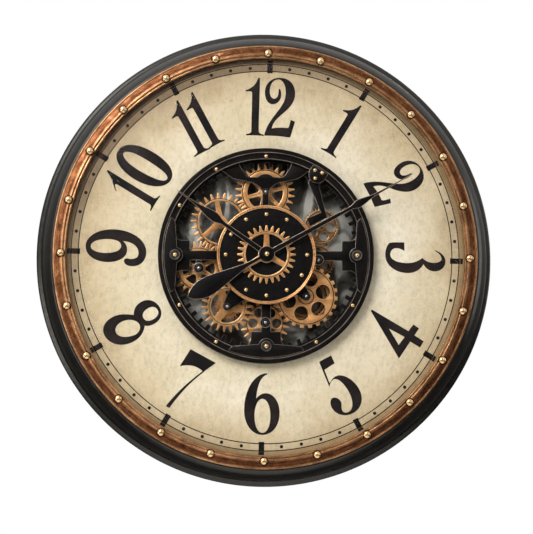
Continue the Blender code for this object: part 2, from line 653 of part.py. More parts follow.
MOVE_LOW, MOVE_HIGH = 5.0, 20.2
WALL = 1.4
MOTION = 0.8  # module of the motion work
MOTION_TIP, MOTION_ROOT = 0.8, 1.15
CANNON, MINUTE_WHEEL, MINUTE_PINION, HOUR_WHEEL = 10, 30, 8, 32
setting_at = polar(MOTION * (CANNON + MINUTE_WHEEL) / 2, 0)
movement = block((-28, 28), (-32, 32), (MOVE_LOW, MOVE_HIGH))
inside = block((-28 + WALL, 28 - WALL), (-14, 32 - WALL), (MOVE_LOW + WALL, MOVE_HIGH - WALL))
battery_bay = block((-26.4, 26.4), (-30.6, -15.4), (MOVE_LOW - 3, MOVE_HIGH - WALL))
bush_hole = rod(3.4, MOVE_HIGH - 4, MOVE_HIGH + 3)
knob_hole = rod(2.6, MOVE_LOW - 3, MOVE_LOW + 4, SMALL, setting_at)
piece("movement_case", "black_plastic", cut(movement, inside, battery_bay, bush_hole, knob_hole))
CELL_R = 7.0
CELL_HALF = 25.2


def battery(name, at, along_x=True):
    """An AA cell lying across the clock, with its button at one end."""
    button = CELL_HALF + 1.0
    profile = [(0, button), (2.6, button), (2.6, CELL_HALF), (CELL_R, CELL_HALF)]
    profile += [(CELL_R, -CELL_HALF), (0, -CELL_HALF)]
    cell = turned(profile, SMALL, closed=False)
    cell.transform(Matrix.Rotation(math.pi / 2, 4, "Y" if along_x else "X"))
    cell.transform(Matrix.Translation((0, 0, at[2] * MM)))
    piece(name, "cell", cell, at[:2])


battery("movement_battery", (-0.5, -23.0, 11.2))

bush_profile = [(BUSH_R, 54.0), (BUSH_R, MOVE_HIGH + GAP), (3.4, MOVE_HIGH + GAP), (3.4, 54.0)]
bush = turned(bush_profile, SMALL)
bush_collar = tube(3.9, 8.0, MIRROR_HIGH + GAP, 28.6)
piece("movement_bush", "gold", joined(bush, bush_collar))


def motion_teeth(count, phase):
    pitch_r = MOTION * count / 2
    return pointed_teeth(count, pitch_r - MOTION_ROOT * MOTION, pitch_r + MOTION_TIP * MOTION, phase)


CANNON_LAYER = (8.6, 10.6)
HOUR_LAYER = (12.2, 14.2)
HOUR_DEPTH = (62.6, 63.8)
MINUTE_DEPTH = (65.2, 66.4)

arbor = turned([(0, 69.0), (1.6, 69.0), (2.0, 68.4), (2.0, 7.4), (0, 7.4)], SMALL, closed=False)
cannon = plate([motion_teeth(CANNON, 0), ring(1.5, 12)], *CANNON_LAYER)
piece("minute_arbor", "steel", joined(arbor, cannon))

hour_tube = tube(2.3, 3.1, 11.6, HOUR_DEPTH[0] - GAP)
hour_wheel = plate([motion_teeth(HOUR_WHEEL, 0), ring(2.7, SMALL)], *HOUR_LAYER)
piece("hour_tube", "gold", joined(hour_tube, hour_wheel))

setting_profile = [(0, 15.2), (1.6, 15.2), (1.6, MOVE_LOW + 2.2), (2.2, MOVE_LOW + 2.2)]
setting_profile += [(2.2, 4.4), (5.6, 4.4), (5.6, 1.4), (0, 1.4)]
setting_arbor = turned(setting_profile, SMALL, closed=False)
minute_wheel_phase = phase_beside(0, CANNON, 0, MINUTE_WHEEL)
minute_pinion_phase = phase_beside(0, HOUR_WHEEL, 0, MINUTE_PINION)
minute_wheel = plate([motion_teeth(MINUTE_WHEEL, minute_wheel_phase), ring(1.2, 12)], *CANNON_LAYER)
minute_pinion = plate([motion_teeth(MINUTE_PINION, minute_pinion_phase), ring(1.2, 12)], *HOUR_LAYER)
piece("setting_knob", "white_plastic", joined(setting_arbor, minute_wheel, minute_pinion), setting_at)

# ---------------------------------------------------------------- hands, standing at ten past ten

HOUR_DEG, MINUTE_DEG = 305.5, 61.0
HAND_HUB_R = 9.2

hour_half = [(2.6, 7.6), (2.3, 40.0), (2.0, 62.0), (4.9, 72.5), (4.5, 83.0), (1.3, 98.0), (0.35, 127.0)]
hour_outline = turned_by(mirrored(hour_half), HOUR_DEG)
hour_blade = plate([hour_outline], *HOUR_DEPTH)
hour_hub = rod(HAND_HUB_R, *HOUR_DEPTH, 20)
hour_hand = cut(joined(hour_blade, hour_hub), rod(2.3, 60, 66))
piece("hour_hand", "black_metal", hour_hand)

minute_half = [(2.7, 7.6), (2.4, 60.0), (1.9, 112.0), (4.6, 119.5), (4.0, 127.0), (1.2, 142.0)]
minute_half += [(0.35, 194.0)]
tail_half = [(1.9, -7.6), (2.2, -24.0), (6.0, -48.0), (10.6, -70.0), (11.3, -79.0), (9.2, -89.0)]
tail_half += [(4.6, -97.5), (0.35, -103.4)]
minute_outline = turned_by(mirrored(list(reversed(tail_half)) + minute_half), MINUTE_DEG)
minute_blade = plate([minute_outline], *MINUTE_DEPTH)
minute_hub = rod(HAND_HUB_R, *MINUTE_DEPTH, 20)
minute_hand = cut(joined(minute_blade, minute_hub), rod(2.3, 60, 72))
piece("minute_hand", "black_metal", minute_hand)

cap = turned([(0, 71.4), (2.6, 70.4), (5.2, 69.4), (5.2, 66.7), (0, 66.7)], SMALL, closed=False)
piece("hand_cap", "gold", cut(cap, rod(2.3, 60, 69.3)))

# ---------------------------------------------------------------- gear motor

MOTOR_X = (-86.0, -30.0)
MOTOR_Y = (-46.0, 30.0)
REDUCTION, ROTOR = 40, 8
rotor_at = polar(MOTION * (REDUCTION + ROTOR) / 2, 180, motor_at)
motor_left, motor_right = MOTOR_X
motor_bottom, motor_top = MOTOR_Y
motor_case = block(MOTOR_X, MOTOR_Y, (MOVE_LOW, MOVE_HIGH))
motor_inside = block(
    (motor_left + 18.0, motor_right - WALL), (motor_bottom + WALL, motor_top - WALL),
    (MOVE_LOW + WALL, MOVE_HIGH - WALL))
motor_bay = block((motor_left + WALL, motor_left + 16.6), (-38.0, 16.0), (MOVE_LOW - 3, MOVE_HIGH - WALL))
shaft_hole = rod(2.6, MOVE_HIGH - 4, MOVE_HIGH + 3, SMALL, motor_at)
switch_slot = block((-47, -33), (20.0, 24.0), (MOVE_LOW - 3, MOVE_LOW + 3))
piece("motor_case", "black_plastic", cut(motor_case, motor_inside, motor_bay, shaft_hole, switch_slot))
battery("motor_battery", (motor_left + 9.0, -11.0, 11.2), along_x=False)

can = turned([(0, 11.6), (11.0, 11.6), (11.0, 6.7), (0, 6.7)], 16, closed=False)
piece("drive_motor", "steel", cut(can, rod(1.5, 9.0, 14)), rotor_at)

rotor = joined(rod(1.2, 9.4, 17.8, 8), plate([motion_teeth(ROTOR, 0), ring(0.8, 8)], 13.0, 16.0))
piece("rotor_pinion", "gold", rotor, rotor_at)

reduction_phase = phase_beside(0, ROTOR, 0, REDUCTION)
output_arbor = turned([(0, 34.4), (2.0, 34.4), (2.0, 7.0), (0, 7.0)], SMALL, closed=False)
reduction_wheel = plate([motion_teeth(REDUCTION, reduction_phase), ring(1.5, 12)], 13.4, 15.6)
output_pinion = plate([hidden_teeth(MOTOR_PINION, motor_phase), ring(1.5, 12)], *REAR_LAYER)
piece("output_pinion", "gold", joined(output_arbor, reduction_wheel, output_pinion), motor_at)

switch_lever = block((-43, -40), (20.4, 23.6), (2.4, 7.2))
switch_slider = block((-45, -38), (19.0, 25.0), (6.7, 8.2))
piece("motor_switch", "white_plastic", joined(switch_lever, switch_slider))
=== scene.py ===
"""The looks of a round wall clock with a window of turning gears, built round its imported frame.

Shapes are laid out on the clock's face in millimetres: x to the right, y up and depth forward from the
wall. FACE turns that layout upright, into metres. Clock degrees run clockwise from 12 o'clock.
"""

import json
import math

import bmesh
import bpy
from mathutils import Matrix, Vector, noise


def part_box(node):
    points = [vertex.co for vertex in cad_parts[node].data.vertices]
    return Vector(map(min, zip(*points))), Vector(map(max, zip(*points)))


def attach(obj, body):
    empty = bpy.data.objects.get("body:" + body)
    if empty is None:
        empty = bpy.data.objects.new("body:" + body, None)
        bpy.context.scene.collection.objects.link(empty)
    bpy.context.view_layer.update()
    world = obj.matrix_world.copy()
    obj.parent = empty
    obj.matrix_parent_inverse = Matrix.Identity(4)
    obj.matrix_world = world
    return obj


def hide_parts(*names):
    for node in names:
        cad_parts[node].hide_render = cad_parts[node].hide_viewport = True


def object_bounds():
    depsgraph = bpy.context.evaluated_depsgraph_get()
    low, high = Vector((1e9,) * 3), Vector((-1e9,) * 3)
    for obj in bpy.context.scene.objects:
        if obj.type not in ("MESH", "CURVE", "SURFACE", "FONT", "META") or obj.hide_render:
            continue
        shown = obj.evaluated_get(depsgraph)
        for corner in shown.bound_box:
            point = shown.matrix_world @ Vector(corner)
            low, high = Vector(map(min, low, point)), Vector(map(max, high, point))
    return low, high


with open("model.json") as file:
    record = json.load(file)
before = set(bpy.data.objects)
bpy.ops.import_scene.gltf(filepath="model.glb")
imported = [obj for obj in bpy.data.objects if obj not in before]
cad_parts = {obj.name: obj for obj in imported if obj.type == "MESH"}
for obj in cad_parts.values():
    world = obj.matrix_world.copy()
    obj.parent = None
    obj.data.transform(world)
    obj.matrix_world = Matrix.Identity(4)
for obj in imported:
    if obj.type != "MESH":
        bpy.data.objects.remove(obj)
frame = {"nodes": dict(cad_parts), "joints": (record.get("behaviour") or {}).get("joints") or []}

CAD_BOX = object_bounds()
MM = 0.001
FACE = Matrix.Rotation(math.pi / 2, 4, "X") @ Matrix.Scale(MM, 4)
STATIC = "clock"
ROUND = 240  # sides of the large round shapes
AXIS = (0.0, 0.0)


def face_box(node):
    """A node's spans on the face: (x, y, depth), each (low, high) in millimetres."""
    low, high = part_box(node)
    return (low[0] / MM, high[0] / MM), (low[2] / MM, high[2] / MM), (-high[1] / MM, -low[1] / MM)


def radius_of(node):
    x_span = face_box(node)[0]
    return (x_span[1] - x_span[0]) / 2


def depths(node):
    return face_box(node)[2]


PIVOT = {joint["child"]: (joint["pos_m"][0] / MM, joint["pos_m"][2] / MM)
         for joint in frame["joints"] if joint["type"] == "hinge"}
CASE_NODES = [name for name in frame["nodes"] if name.startswith("outer_case")]
CASE_R = CAD_BOX[1][0] / MM
BEZEL_R = radius_of("rivet_ring")
DIAL_FRONT = depths("dial_plate")[1]
WINDOW_R = radius_of("window_ring")
WINDOW_FRONT = depths("window_ring")[1]
DISC_FRONT = depths("centre_disc")[1]
BRIDGE_LOW, BRIDGE_HIGH = depths("top_yoke")

# ---- outlines


def polar(radius, clock_deg, centre=AXIS):
    a = math.radians(clock_deg)
    return (centre[0] + radius * math.sin(a), centre[1] + radius * math.cos(a))


def arc(radius, start_deg, end_deg, steps, centre=AXIS):
    return [polar(radius, start_deg + (end_deg - start_deg) * i / steps, centre) for i in range(steps + 1)]


def ring(radius, steps=96, centre=AXIS):
    return arc(radius, 0, 360 - 360 / steps, steps - 1, centre)


def moved(points, shift):
    return [(x + shift[0], y + shift[1]) for x, y in points]


def turned_by(points, clock_deg):
    c, s = math.cos(math.radians(clock_deg)), math.sin(math.radians(clock_deg))
    return [(x * c + y * s, y * c - x * s) for x, y in points]


def mirrored(points):
    return points + [(-x, y) for x, y in reversed(points)]


def bezier(start, path, steps=10):
    """Points along a path of straight runs (x, y) and cubic curves (x1, y1, x2, y2, x, y)."""
    points = [start]
    for move in path:
        if len(move) == 2:
            points.append(move)
            continue
        p0 = Vector(points[-1])
        p1, p2, p3 = Vector(move[0:2]), Vector(move[2:4]), Vector(move[4:6])
        for i in range(1, steps + 1):
            t = i / steps
            p = p0 * (1 - t) ** 3 + p1 * 3 * t * (1 - t) ** 2 + p2 * 3 * t * t * (1 - t) + p3 * t**3
            points.append((p.x, p.y))
    if (Vector(points[0]) - Vector(points[-1])).length < 0.01:
        points.pop()
    return points


def gear(count, root_r, tip_r, phase_deg=0.0, root_share=0.56, tip_share=0.2):
    """Teeth with rounded flanks and tips, joined by the root circle."""
    points = []
    half = 180 / count
    for i in range(count):
        at = phase_deg + 360 * i / count
        rise = [(root_share, 0.0), (0.7 * root_share, 0.45), (tip_share, 0.93), (0.4 * tip_share, 1.0)]
        for share, height in [(-share, height) for share, height in rise] + rise[::-1]:
            points.append(polar(root_r + (tip_r - root_r) * height, at + half * share))
        points.append(polar(root_r, at + half))
    return points


def square_gear(count, root_r, tip_r, phase_deg=0.0, root_share=0.5, tip_share=0.44):
    """Blunt teeth with slightly cut corners."""
    points = []
    half = 180 / count
    for i in range(count):
        at = phase_deg + 360 * i / count
        points += [polar(root_r, at - half * root_share), polar(tip_r - 0.5, at - half * tip_share)]
        points += [polar(tip_r, at - half * (tip_share - 0.1)), polar(tip_r, at + half * (tip_share - 0.1))]
        points += [polar(tip_r - 0.5, at + half * tip_share), polar(root_r, at + half * root_share)]
        points += [polar(root_r, at + half * 0.75), polar(root_r, at + half * 1.25)]
    return points


def windows(count, inner_r, outer_r, spoke_w, phase_deg=0.0, flare=1.0):
    """The openings between spokes, with small corner rounds. Flare widens the spokes towards the hub."""
    openings = []
    for i in range(count):
        start, end = phase_deg + 360 * i / count, phase_deg + 360 * (i + 1) / count
        inner_cut = math.degrees(math.asin(spoke_w * flare / 2 / inner_r))
        outer_cut = math.degrees(math.asin(spoke_w / 2 / outer_r))
        outer_round, inner_round = math.degrees(1.0 / outer_r), math.degrees(0.7 / inner_r)
        outline = arc(outer_r, start + outer_cut + outer_round, end - outer_cut - outer_round, 16)
        outline.append(polar(outer_r - 1.0, end - outer_cut))
        if end - start > 2 * (inner_cut + inner_round):
            outline.append(polar(inner_r + 0.7, end - inner_cut))
            outline += arc(inner_r, end - inner_cut - inner_round, start + inner_cut + inner_round, 6)
            outline.append(polar(inner_r + 0.7, start + inner_cut))
        outline.append(polar(outer_r - 1.0, start + outer_cut))
        openings.append(outline)
    return openings


def beside(first_phase, first_teeth, first_at, second_at, second_teeth):
    """The phase at which the second wheel's gap faces the first wheel's tooth."""
    clock_deg = math.degrees(math.atan2(second_at[0] - first_at[0], second_at[1] - first_at[1]))
    return clock_deg + 180 + (0.5 + (clock_deg - first_phase) * first_teeth / 360) * 360 / second_teeth


# ---- materials


class Look:
    """A node material round one Principled BSDF, with short calls for its usual parts."""

    def __init__(self, name, colour, metallic, roughness, specular=0.5):
        self.material = bpy.data.materials.new(name)
        self.material.use_nodes = True
        self.tree = self.material.node_tree
        self.shader = self.tree.nodes["Principled BSDF"]
        self.shader.inputs["Base Color"].default_value = (*colour, 1)
        self.shader.inputs["Metallic"].default_value = metallic
        self.shader.inputs["Roughness"].default_value = roughness
        self.shader.inputs["Specular IOR Level"].default_value = specular
        self.place = self.tree.nodes.new("ShaderNodeTexCoord").outputs["Object"]

    def join(self, source, target):
        self.tree.links.new(source, target)

    def math(self, operation, first, second=None, clamp=False):
        node = self.tree.nodes.new("ShaderNodeMath")
        node.operation = operation
        node.use_clamp = clamp
        for slot, value in zip(node.inputs, (first, second)):
            if value is None:
                continue
            if isinstance(value, (int, float)):
                slot.default_value = value
            else:
                self.join(value, slot)
        return node.outputs[0]

    def stretched(self, scale):
        node = self.tree.nodes.new("ShaderNodeMapping")
        node.inputs["Scale"].default_value = scale
        self.join(self.place, node.inputs["Vector"])
        return node.outputs[0]

    def noise(self, scale, detail=4.0, rough=0.55, distortion=0.0, place=None):
        node = self.tree.nodes.new("ShaderNodeTexNoise")
        node.inputs["Scale"].default_value = scale
        node.inputs["Detail"].default_value = detail
        node.inputs["Roughness"].default_value = rough
        node.inputs["Distortion"].default_value = distortion
        self.join(place or self.place, node.inputs["Vector"])
        return node.outputs["Fac"]

    def ramp(self, factor, stops):
        """Stops are (position, value), with a value of one number or a colour."""
        node = self.tree.nodes.new("ShaderNodeValToRGB")
        while len(node.color_ramp.elements) < len(stops):
            node.color_ramp.elements.new(0.5)
        for element, (position, value) in zip(node.color_ramp.elements, stops):
            element.position = position
            element.color = (*value, 1) if isinstance(value, tuple) else (value, value, value, 1)
        self.join(factor, node.inputs["Fac"])
        return node.outputs["Color"]

    def mix(self, factor, first, second, blend="MIX"):
        node = self.tree.nodes.new("ShaderNodeMix")
        node.data_type = "RGBA"
        node.blend_type = blend
        for slot, value in ((node.inputs["Factor"], factor), (node.inputs["A"], first),
                            (node.inputs["B"], second)):
            if isinstance(value, (int, float)):
                slot.default_value = value
            elif isinstance(value, tuple):
                slot.default_value = (*value, 1)
            else:
                self.join(value, slot)
        return node.outputs["Result"]

    def mottle(self, noise, *stops):
        """A ramp over one noise, which is given as noise's own values."""
        return self.ramp(self.noise(*noise), stops)

    def spot(self):
        """The place on the face, right and up, in metres."""
        split = self.tree.nodes.new("ShaderNodeSeparateXYZ")
        self.join(self.place, split.inputs[0])
        return split.outputs[0], split.outputs[2]

    def radius(self):
        """Distance from the clock's axis, in millimetres."""
        x, y = self.spot()
        squares = self.math("ADD", self.math("MULTIPLY", x, x), self.math("MULTIPLY", y, y))
        return self.math("MULTIPLY", self.math("SQRT", squares), 1 / MM)

    def round_about(self, along, across):
        """Coordinates round the clock's axis, with the millimetres that one unit is along and across."""
        x, y = self.spot()
        joined = self.tree.nodes.new("ShaderNodeCombineXYZ")
        self.join(self.math("MULTIPLY", self.math("ARCTAN2", y, x), BEZEL_R / along), joined.inputs[0])
        self.join(self.math("MULTIPLY", self.radius(), 1 / across), joined.inputs[1])
        return joined.outputs[0]

    def towards(self, right, up):
        """Distance over the face in one direction, in millimetres."""
        x, y = self.spot()
        return self.math("ADD", self.math("MULTIPLY", y, up / MM), self.math("MULTIPLY", x, right / MM))

    def band(self, value, low, high):
        """0 below low, 1 above high, and a straight rise between them."""
        return self.math("DIVIDE", self.math("SUBTRACT", value, low), high - low, clamp=True)

    def colour(self, source):
        self.join(source, self.shader.inputs["Base Color"])

    def roughness(self, source):
        self.join(source, self.shader.inputs["Roughness"])

    def bump(self, source, strength, distance):
        node = self.tree.nodes.new("ShaderNodeBump")
        node.inputs["Strength"].default_value = strength
        node.inputs["Distance"].default_value = distance * MM
        self.join(source, node.inputs["Height"])
        previous = self.shader.inputs["Normal"].links
        if previous:
            self.join(previous[0].from_socket, node.inputs["Normal"])
        self.join(node.outputs["Normal"], self.shader.inputs["Normal"])


def brushed(name, light, dark, metallic, rough_low, rough_high, blotch=90, grain=1400, relief=0.18):
    """Metal with soft blotches of patina and a fine grain."""
    look = Look(name, light, metallic, rough_low)
    patches = look.mottle((blotch, 5, 0.6), (0.36, dark), (0.62, light))
    specks = look.mottle((grain, 3, 0.7), (0.35, 0.78), (0.6, 1.0))
    look.colour(look.mix(1.0, patches, specks, "MULTIPLY"))
    look.roughness(look.mottle((blotch * 2.3, 4, 0.6), (0.35, rough_high), (0.65, rough_low)))
    look.bump(look.noise(grain * 0.6, 3, 0.6), relief, 0.15)
    return look.material


def make_case_black():
    look = Look("case_black", (0.006, 0.0055, 0.005), 0.0, 0.3)
    look.shader.inputs["Specular Tint"].default_value = (1.0, 0.94, 0.84, 1)
    shade = look.mottle((60, 5, 0.6), (0.35, (0.004, 0.0036, 0.003)), (0.65, (0.008, 0.0072, 0.006)))
    look.colour(shade)
    look.roughness(look.mottle((160, 4, 0.6), (0.35, 0.38), (0.65, 0.28)))
    look.bump(look.noise(900, 3, 0.6), 0.08, 0.2)
    return look.material


def make_plate_black(name="plate_black", light=(0.0065, 0.0048, 0.0044), dark=(0.003, 0.0022, 0.002)):
    look = Look(name, light, 0.0, 0.38, 0.09)
    look.colour(look.mottle((70, 5, 0.6), (0.35, dark), (0.65, light)))
    look.roughness(look.mottle((220, 4, 0.6), (0.3, 0.52), (0.7, 0.36)))
    look.bump(look.noise(1300, 3, 0.65), 0.12, 0.15)
    return look.material


def make_bronze():
    """Dark mottled bronze, hammered and scratched along the band. Both edges are lighter, partly rubbed wear
    and partly a painted edge highlight, and the band is painted lighter towards its left as if lit from
    there.
    """
    look = Look("bezel_bronze", (0.30, 0.13, 0.06), 0.95, 0.40)
    blotches = look.noise(75, 7, 0.68, 0.6)
    base = look.ramp(blotches, [(0.30, (0.036, 0.012, 0.005)), (0.46, (0.125, 0.042, 0.016)),
                                (0.60, (0.185, 0.067, 0.026)), (0.74, (0.440, 0.215, 0.100))])
    radius = look.radius()
    # lighter along both edges: partly rubbed wear, partly a painted edge highlight
    outer_wear_and_sheen = look.band(radius, BEZEL_R - 3.6, BEZEL_R - 1.2)
    inner_wear_and_sheen = look.math("SUBTRACT", 1.0, look.band(radius, BEZEL_R - 11.0, BEZEL_R - 8.0))
    edges = look.math("MULTIPLY", look.math("MAXIMUM", outer_wear_and_sheen, inner_wear_and_sheen),
                      look.mottle((40, 5, 0.6), (0.32, 0.25), (0.58, 0.95)))
    wear_and_sheen = look.mix(edges, base, (0.54, 0.29, 0.14))
    streaks = look.noise(1.0, 5, 0.7, 0.5, place=look.round_about(16.0, 1.5))
    wear_and_sheen = look.mix(1.0, wear_and_sheen, look.ramp(streaks, [(0.34, 0.45), (0.54, 1.0)]), "MULTIPLY")
    # painted light: the band is painted lighter towards its left, as if lit from that side
    painted_left_light = look.mix(look.band(look.towards(-1.0, -0.2), 30, 210), (1.0, 1.0, 1.0), (1.35, 1.35, 1.35))
    wear_and_sheen = look.mix(1.0, wear_and_sheen, painted_left_light, "MULTIPLY")
    fine = look.mottle((700, 4, 0.7), (0.33, 0.60), (0.60, 1.15))
    look.colour(look.mix(1.0, wear_and_sheen, fine, "MULTIPLY"))
    look.bump(streaks, 0.35, 0.3)
    look.roughness(look.mottle((150, 5, 0.65), (0.32, 0.55), (0.66, 0.30)))
    look.bump(look.noise(260, 5, 0.6, 0.4), 0.45, 0.5)
    look.bump(look.noise(1100, 3, 0.6), 0.2, 0.15)
    return look.material


def make_parchment():
    """Printed paper with fibres and specks, pale in the middle and browner towards its rim, partly from age
    and partly as painted shade; painted shade of the bezel makes it browner still towards the top.
    """
    look = Look("parchment", (0.72, 0.62, 0.43), 0.0, 0.62)
    radius = look.radius()
    pale, tan, brown = (0.755, 0.650, 0.490), (0.560, 0.420, 0.245), (0.270, 0.175, 0.085)
    clouds = look.noise(9.0, 6, 0.62, 0.4)
    paper = look.ramp(clouds, [(0.36, (0.655, 0.545, 0.365)), (0.58, pale), (0.75, (0.820, 0.735, 0.590))])
    reach = look.math("ADD", radius, look.math("MULTIPLY",
                                               look.math("SUBTRACT", look.noise(14, 6, 0.65), 0.5), 90))
    # painted shade: the bezel's shadow from the light above makes the paper browner towards the top and upper
    # left
    high = look.band(look.towards(-0.5, 0.85), -60, 220)
    reach = look.math("ADD", reach, look.math("MULTIPLY", high, 22))
    paper = look.mix(look.math("MULTIPLY", look.band(reach, 160, 220), 0.80), paper, tan)
    paper = look.mix(look.math("MULTIPLY", look.band(reach, 198, 246), 0.60), paper, brown)
    # painted shadow of the bezel over the minute track, at the top and upper left
    shaded = look.math("MULTIPLY", look.band(radius, 216.0, 217.6),
                       look.band(look.towards(-0.6, 0.8), 60, 190))
    paper = look.mix(look.math("MULTIPLY", shaded, 0.88), paper, (0.160, 0.098, 0.046))
    # beyond the track the paper is brown and darker towards the top and upper left: partly the paper's tone,
    # partly a painted shadow of the bezel
    outside = look.band(radius, 225.6, 227.4)
    margin_tone_and_shadow = look.mix(high, (0.400, 0.250, 0.115), (0.050, 0.030, 0.015))
    paper = look.mix(look.math("MULTIPLY", outside, 0.94), paper, margin_tone_and_shadow)
    fibres = look.ramp(look.noise(1.0, 6, 0.75, place=look.stretched((240, 240, 150))),
                       [(0.34, 0.80), (0.54, 1.0)])
    paper = look.mix(1.0, paper, fibres, "MULTIPLY")
    blots = look.mottle((60, 6, 0.8, 1.6), (0.30, (0.60, 0.50, 0.36)), (0.41, (1.0, 1.0, 1.0)))
    paper = look.mix(0.6, paper, blots, "MULTIPLY")
    specks = look.mottle((520, 4, 0.7), (0.27, (0.60, 0.46, 0.32)), (0.34, (1.0, 1.0, 1.0)))
    look.colour(look.mix(0.85, paper, specks, "MULTIPLY"))
    look.bump(look.noise(900, 4, 0.7), 0.12, 0.15)
    return look.material


def make_print():
    look = Look("print_black", (0.012, 0.010, 0.010), 0.0, 0.45, 0.1)
    look.colour(look.mottle((30, 5, 0.6), (0.38, (0.007, 0.006, 0.006)), (0.66, (0.024, 0.016, 0.015))))
    look.roughness(look.mottle((90, 4, 0.6), (0.35, 0.55), (0.65, 0.42)))
    return look.material


def make_smoked_mirror():
    """A grey mirror with soft vertical smoke in it, and painted shade towards the centre disc and the well's
    wall.
    """
    look = Look("smoked_mirror", (0.35, 0.36, 0.34), 0.35, 0.38)
    smoke = look.noise(1.0, 3, 0.5, 1.0, place=look.stretched((36, 36, 17)))
    shade = look.ramp(smoke, [(0.40, (0.022, 0.018, 0.013)), (0.50, (0.150, 0.140, 0.122)),
                              (0.59, (0.540, 0.520, 0.480))])
    radius = look.radius()
    # painted shade: the mirror darkens under the centre disc and towards the well's wall
    unshaded_band = look.math("SUBTRACT", look.band(radius, 52, 76), look.band(radius, 98, 118))
    look.colour(look.mix(look.math("MULTIPLY", look.math("SUBTRACT", 1.0, unshaded_band), 0.85), shade,
                         (0.018, 0.014, 0.010)))
    look.roughness(look.mottle((30, 3, 0.5), (0.35, 0.42), (0.65, 0.34)))
    return look.material


def blended(tree, factor, first, second, output):
    """Joins a mix of two shaders to a tree's surface."""
    mix = tree.nodes.new("ShaderNodeMixShader")
    for i, source in enumerate((factor, first.outputs[0], second.outputs[0])):
        tree.links.new(source, mix.inputs[i])
    tree.links.new(mix.outputs[0], tree.nodes[output].inputs["Surface"])


def make_glass():
    """Clear glass: see-through face on, with reflections that grow towards its edges."""
    material = bpy.data.materials.new("clear_glass")
    material.use_nodes = True
    tree = material.node_tree
    tree.nodes.remove(tree.nodes["Principled BSDF"])
    clear = tree.nodes.new("ShaderNodeBsdfTransparent")
    clear.inputs["Color"].default_value = (0.985, 0.99, 0.985, 1)
    shine = tree.nodes.new("ShaderNodeBsdfGlossy")
    shine.inputs["Roughness"].default_value = 0.04
    shine.inputs["Color"].default_value = (0.85, 0.85, 0.85, 1)
    fresnel = tree.nodes.new("ShaderNodeFresnel")
    fresnel.inputs["IOR"].default_value = 1.10
    share = tree.nodes.new("ShaderNodeMath")
    share.operation = "MULTIPLY"
    share.inputs[1].default_value = 0.35  # a coated glass, which reflects less
    tree.links.new(fresnel.outputs[0], share.inputs[0])
    blended(tree, share.outputs[0], clear, shine, "Material Output")
    return material


def make_plastic(name, colour, roughness):
    look = Look(name, colour, 0.0, roughness)
    look.colour(look.mottle((120, 4, 0.6), (0.3, tuple(c * 0.8 for c in colour)), (0.7, colour)))
    look.bump(look.noise(2600, 2, 0.5), 0.25, 0.1)
    return look.material


def make_cell():
    """A battery's plain dark green jacket."""
    look = Look("cell_jacket", (0.030, 0.060, 0.045), 0.5, 0.3)
    look.colour(look.mottle((140, 4, 0.6), (0.3, (0.022, 0.045, 0.034)), (0.7, (0.036, 0.070, 0.052))))
    return look.material


CASE_BLACK = make_case_black()
PLATE_BLACK = make_plate_black()
DISC_BLACK = make_plate_black("disc_black", (0.006, 0.005, 0.005), (0.003, 0.0025, 0.0025))
HAND_BLACK = make_plate_black("hand_black", (0.005, 0.004, 0.0045), (0.003, 0.0025, 0.0025))
HIDDEN_BLACK = make_plate_black("inner_black", (0.018, 0.016, 0.015), (0.010, 0.009, 0.0085))
# lighter colours for the bevels: painted highlights along the edges of the black plates, the hands and the
# wheels
PLATE_EDGE_HIGHLIGHT = brushed("plate_edge_highlight", (0.36, 0.29, 0.24), (0.16, 0.125, 0.10), 0.4, 0.34, 0.45)
DULL_EDGE_HIGHLIGHT = brushed("dull_edge_highlight", (0.10, 0.085, 0.075), (0.045, 0.038, 0.033), 0.3, 0.4, 0.5)
HAND_EDGE_HIGHLIGHT = brushed("hand_edge_highlight", (0.52, 0.40, 0.30), (0.30, 0.21, 0.15), 0.4, 0.28, 0.38)
BRONZE = make_bronze()
COPPER = brushed("gear_copper", (0.80, 0.40, 0.155), (0.54, 0.23, 0.075), 0.55, 0.32, 0.46)
COPPER_EDGE_HIGHLIGHT = brushed("gear_edge_highlight", (1.0, 0.66, 0.34), (0.78, 0.44, 0.19), 0.55, 0.26, 0.36)
# a darker copy of the copper for the wheels of the rear layer: painted shade
SHADED_COPPER = brushed("shaded_copper", (0.38, 0.185, 0.075), (0.20, 0.09, 0.034), 0.55, 0.38, 0.5)
GROOVE = brushed("groove_patina", (0.060, 0.026, 0.012), (0.022, 0.010, 0.006), 0.3, 0.5, 0.6)
GOLD = brushed("polished_gold", (0.93, 0.62, 0.32), (0.74, 0.44, 0.2), 0.85, 0.2, 0.3, blotch=200,
               relief=0.05)
RIM_COPPER = brushed("rim_copper", (0.90, 0.50, 0.23), (0.66, 0.32, 0.13), 0.7, 0.24, 0.34, blotch=60,
                     relief=0.05)
STEEL = brushed("bright_steel", (0.66, 0.66, 0.67), (0.45, 0.45, 0.46), 1.0, 0.18, 0.3, blotch=200)
ZINC = brushed("zinc_plate", (0.50, 0.50, 0.49), (0.34, 0.34, 0.34), 0.9, 0.34, 0.48)
PARCHMENT = make_parchment()
PRINT = make_print()
MIRROR = make_smoked_mirror()
GLASS = make_glass()
BLACK_PLASTIC = make_plastic("black_abs", (0.028, 0.028, 0.030), 0.42)
WHITE_PLASTIC = make_plastic("white_abs", (0.72, 0.71, 0.67), 0.45)
CELL = make_cell()

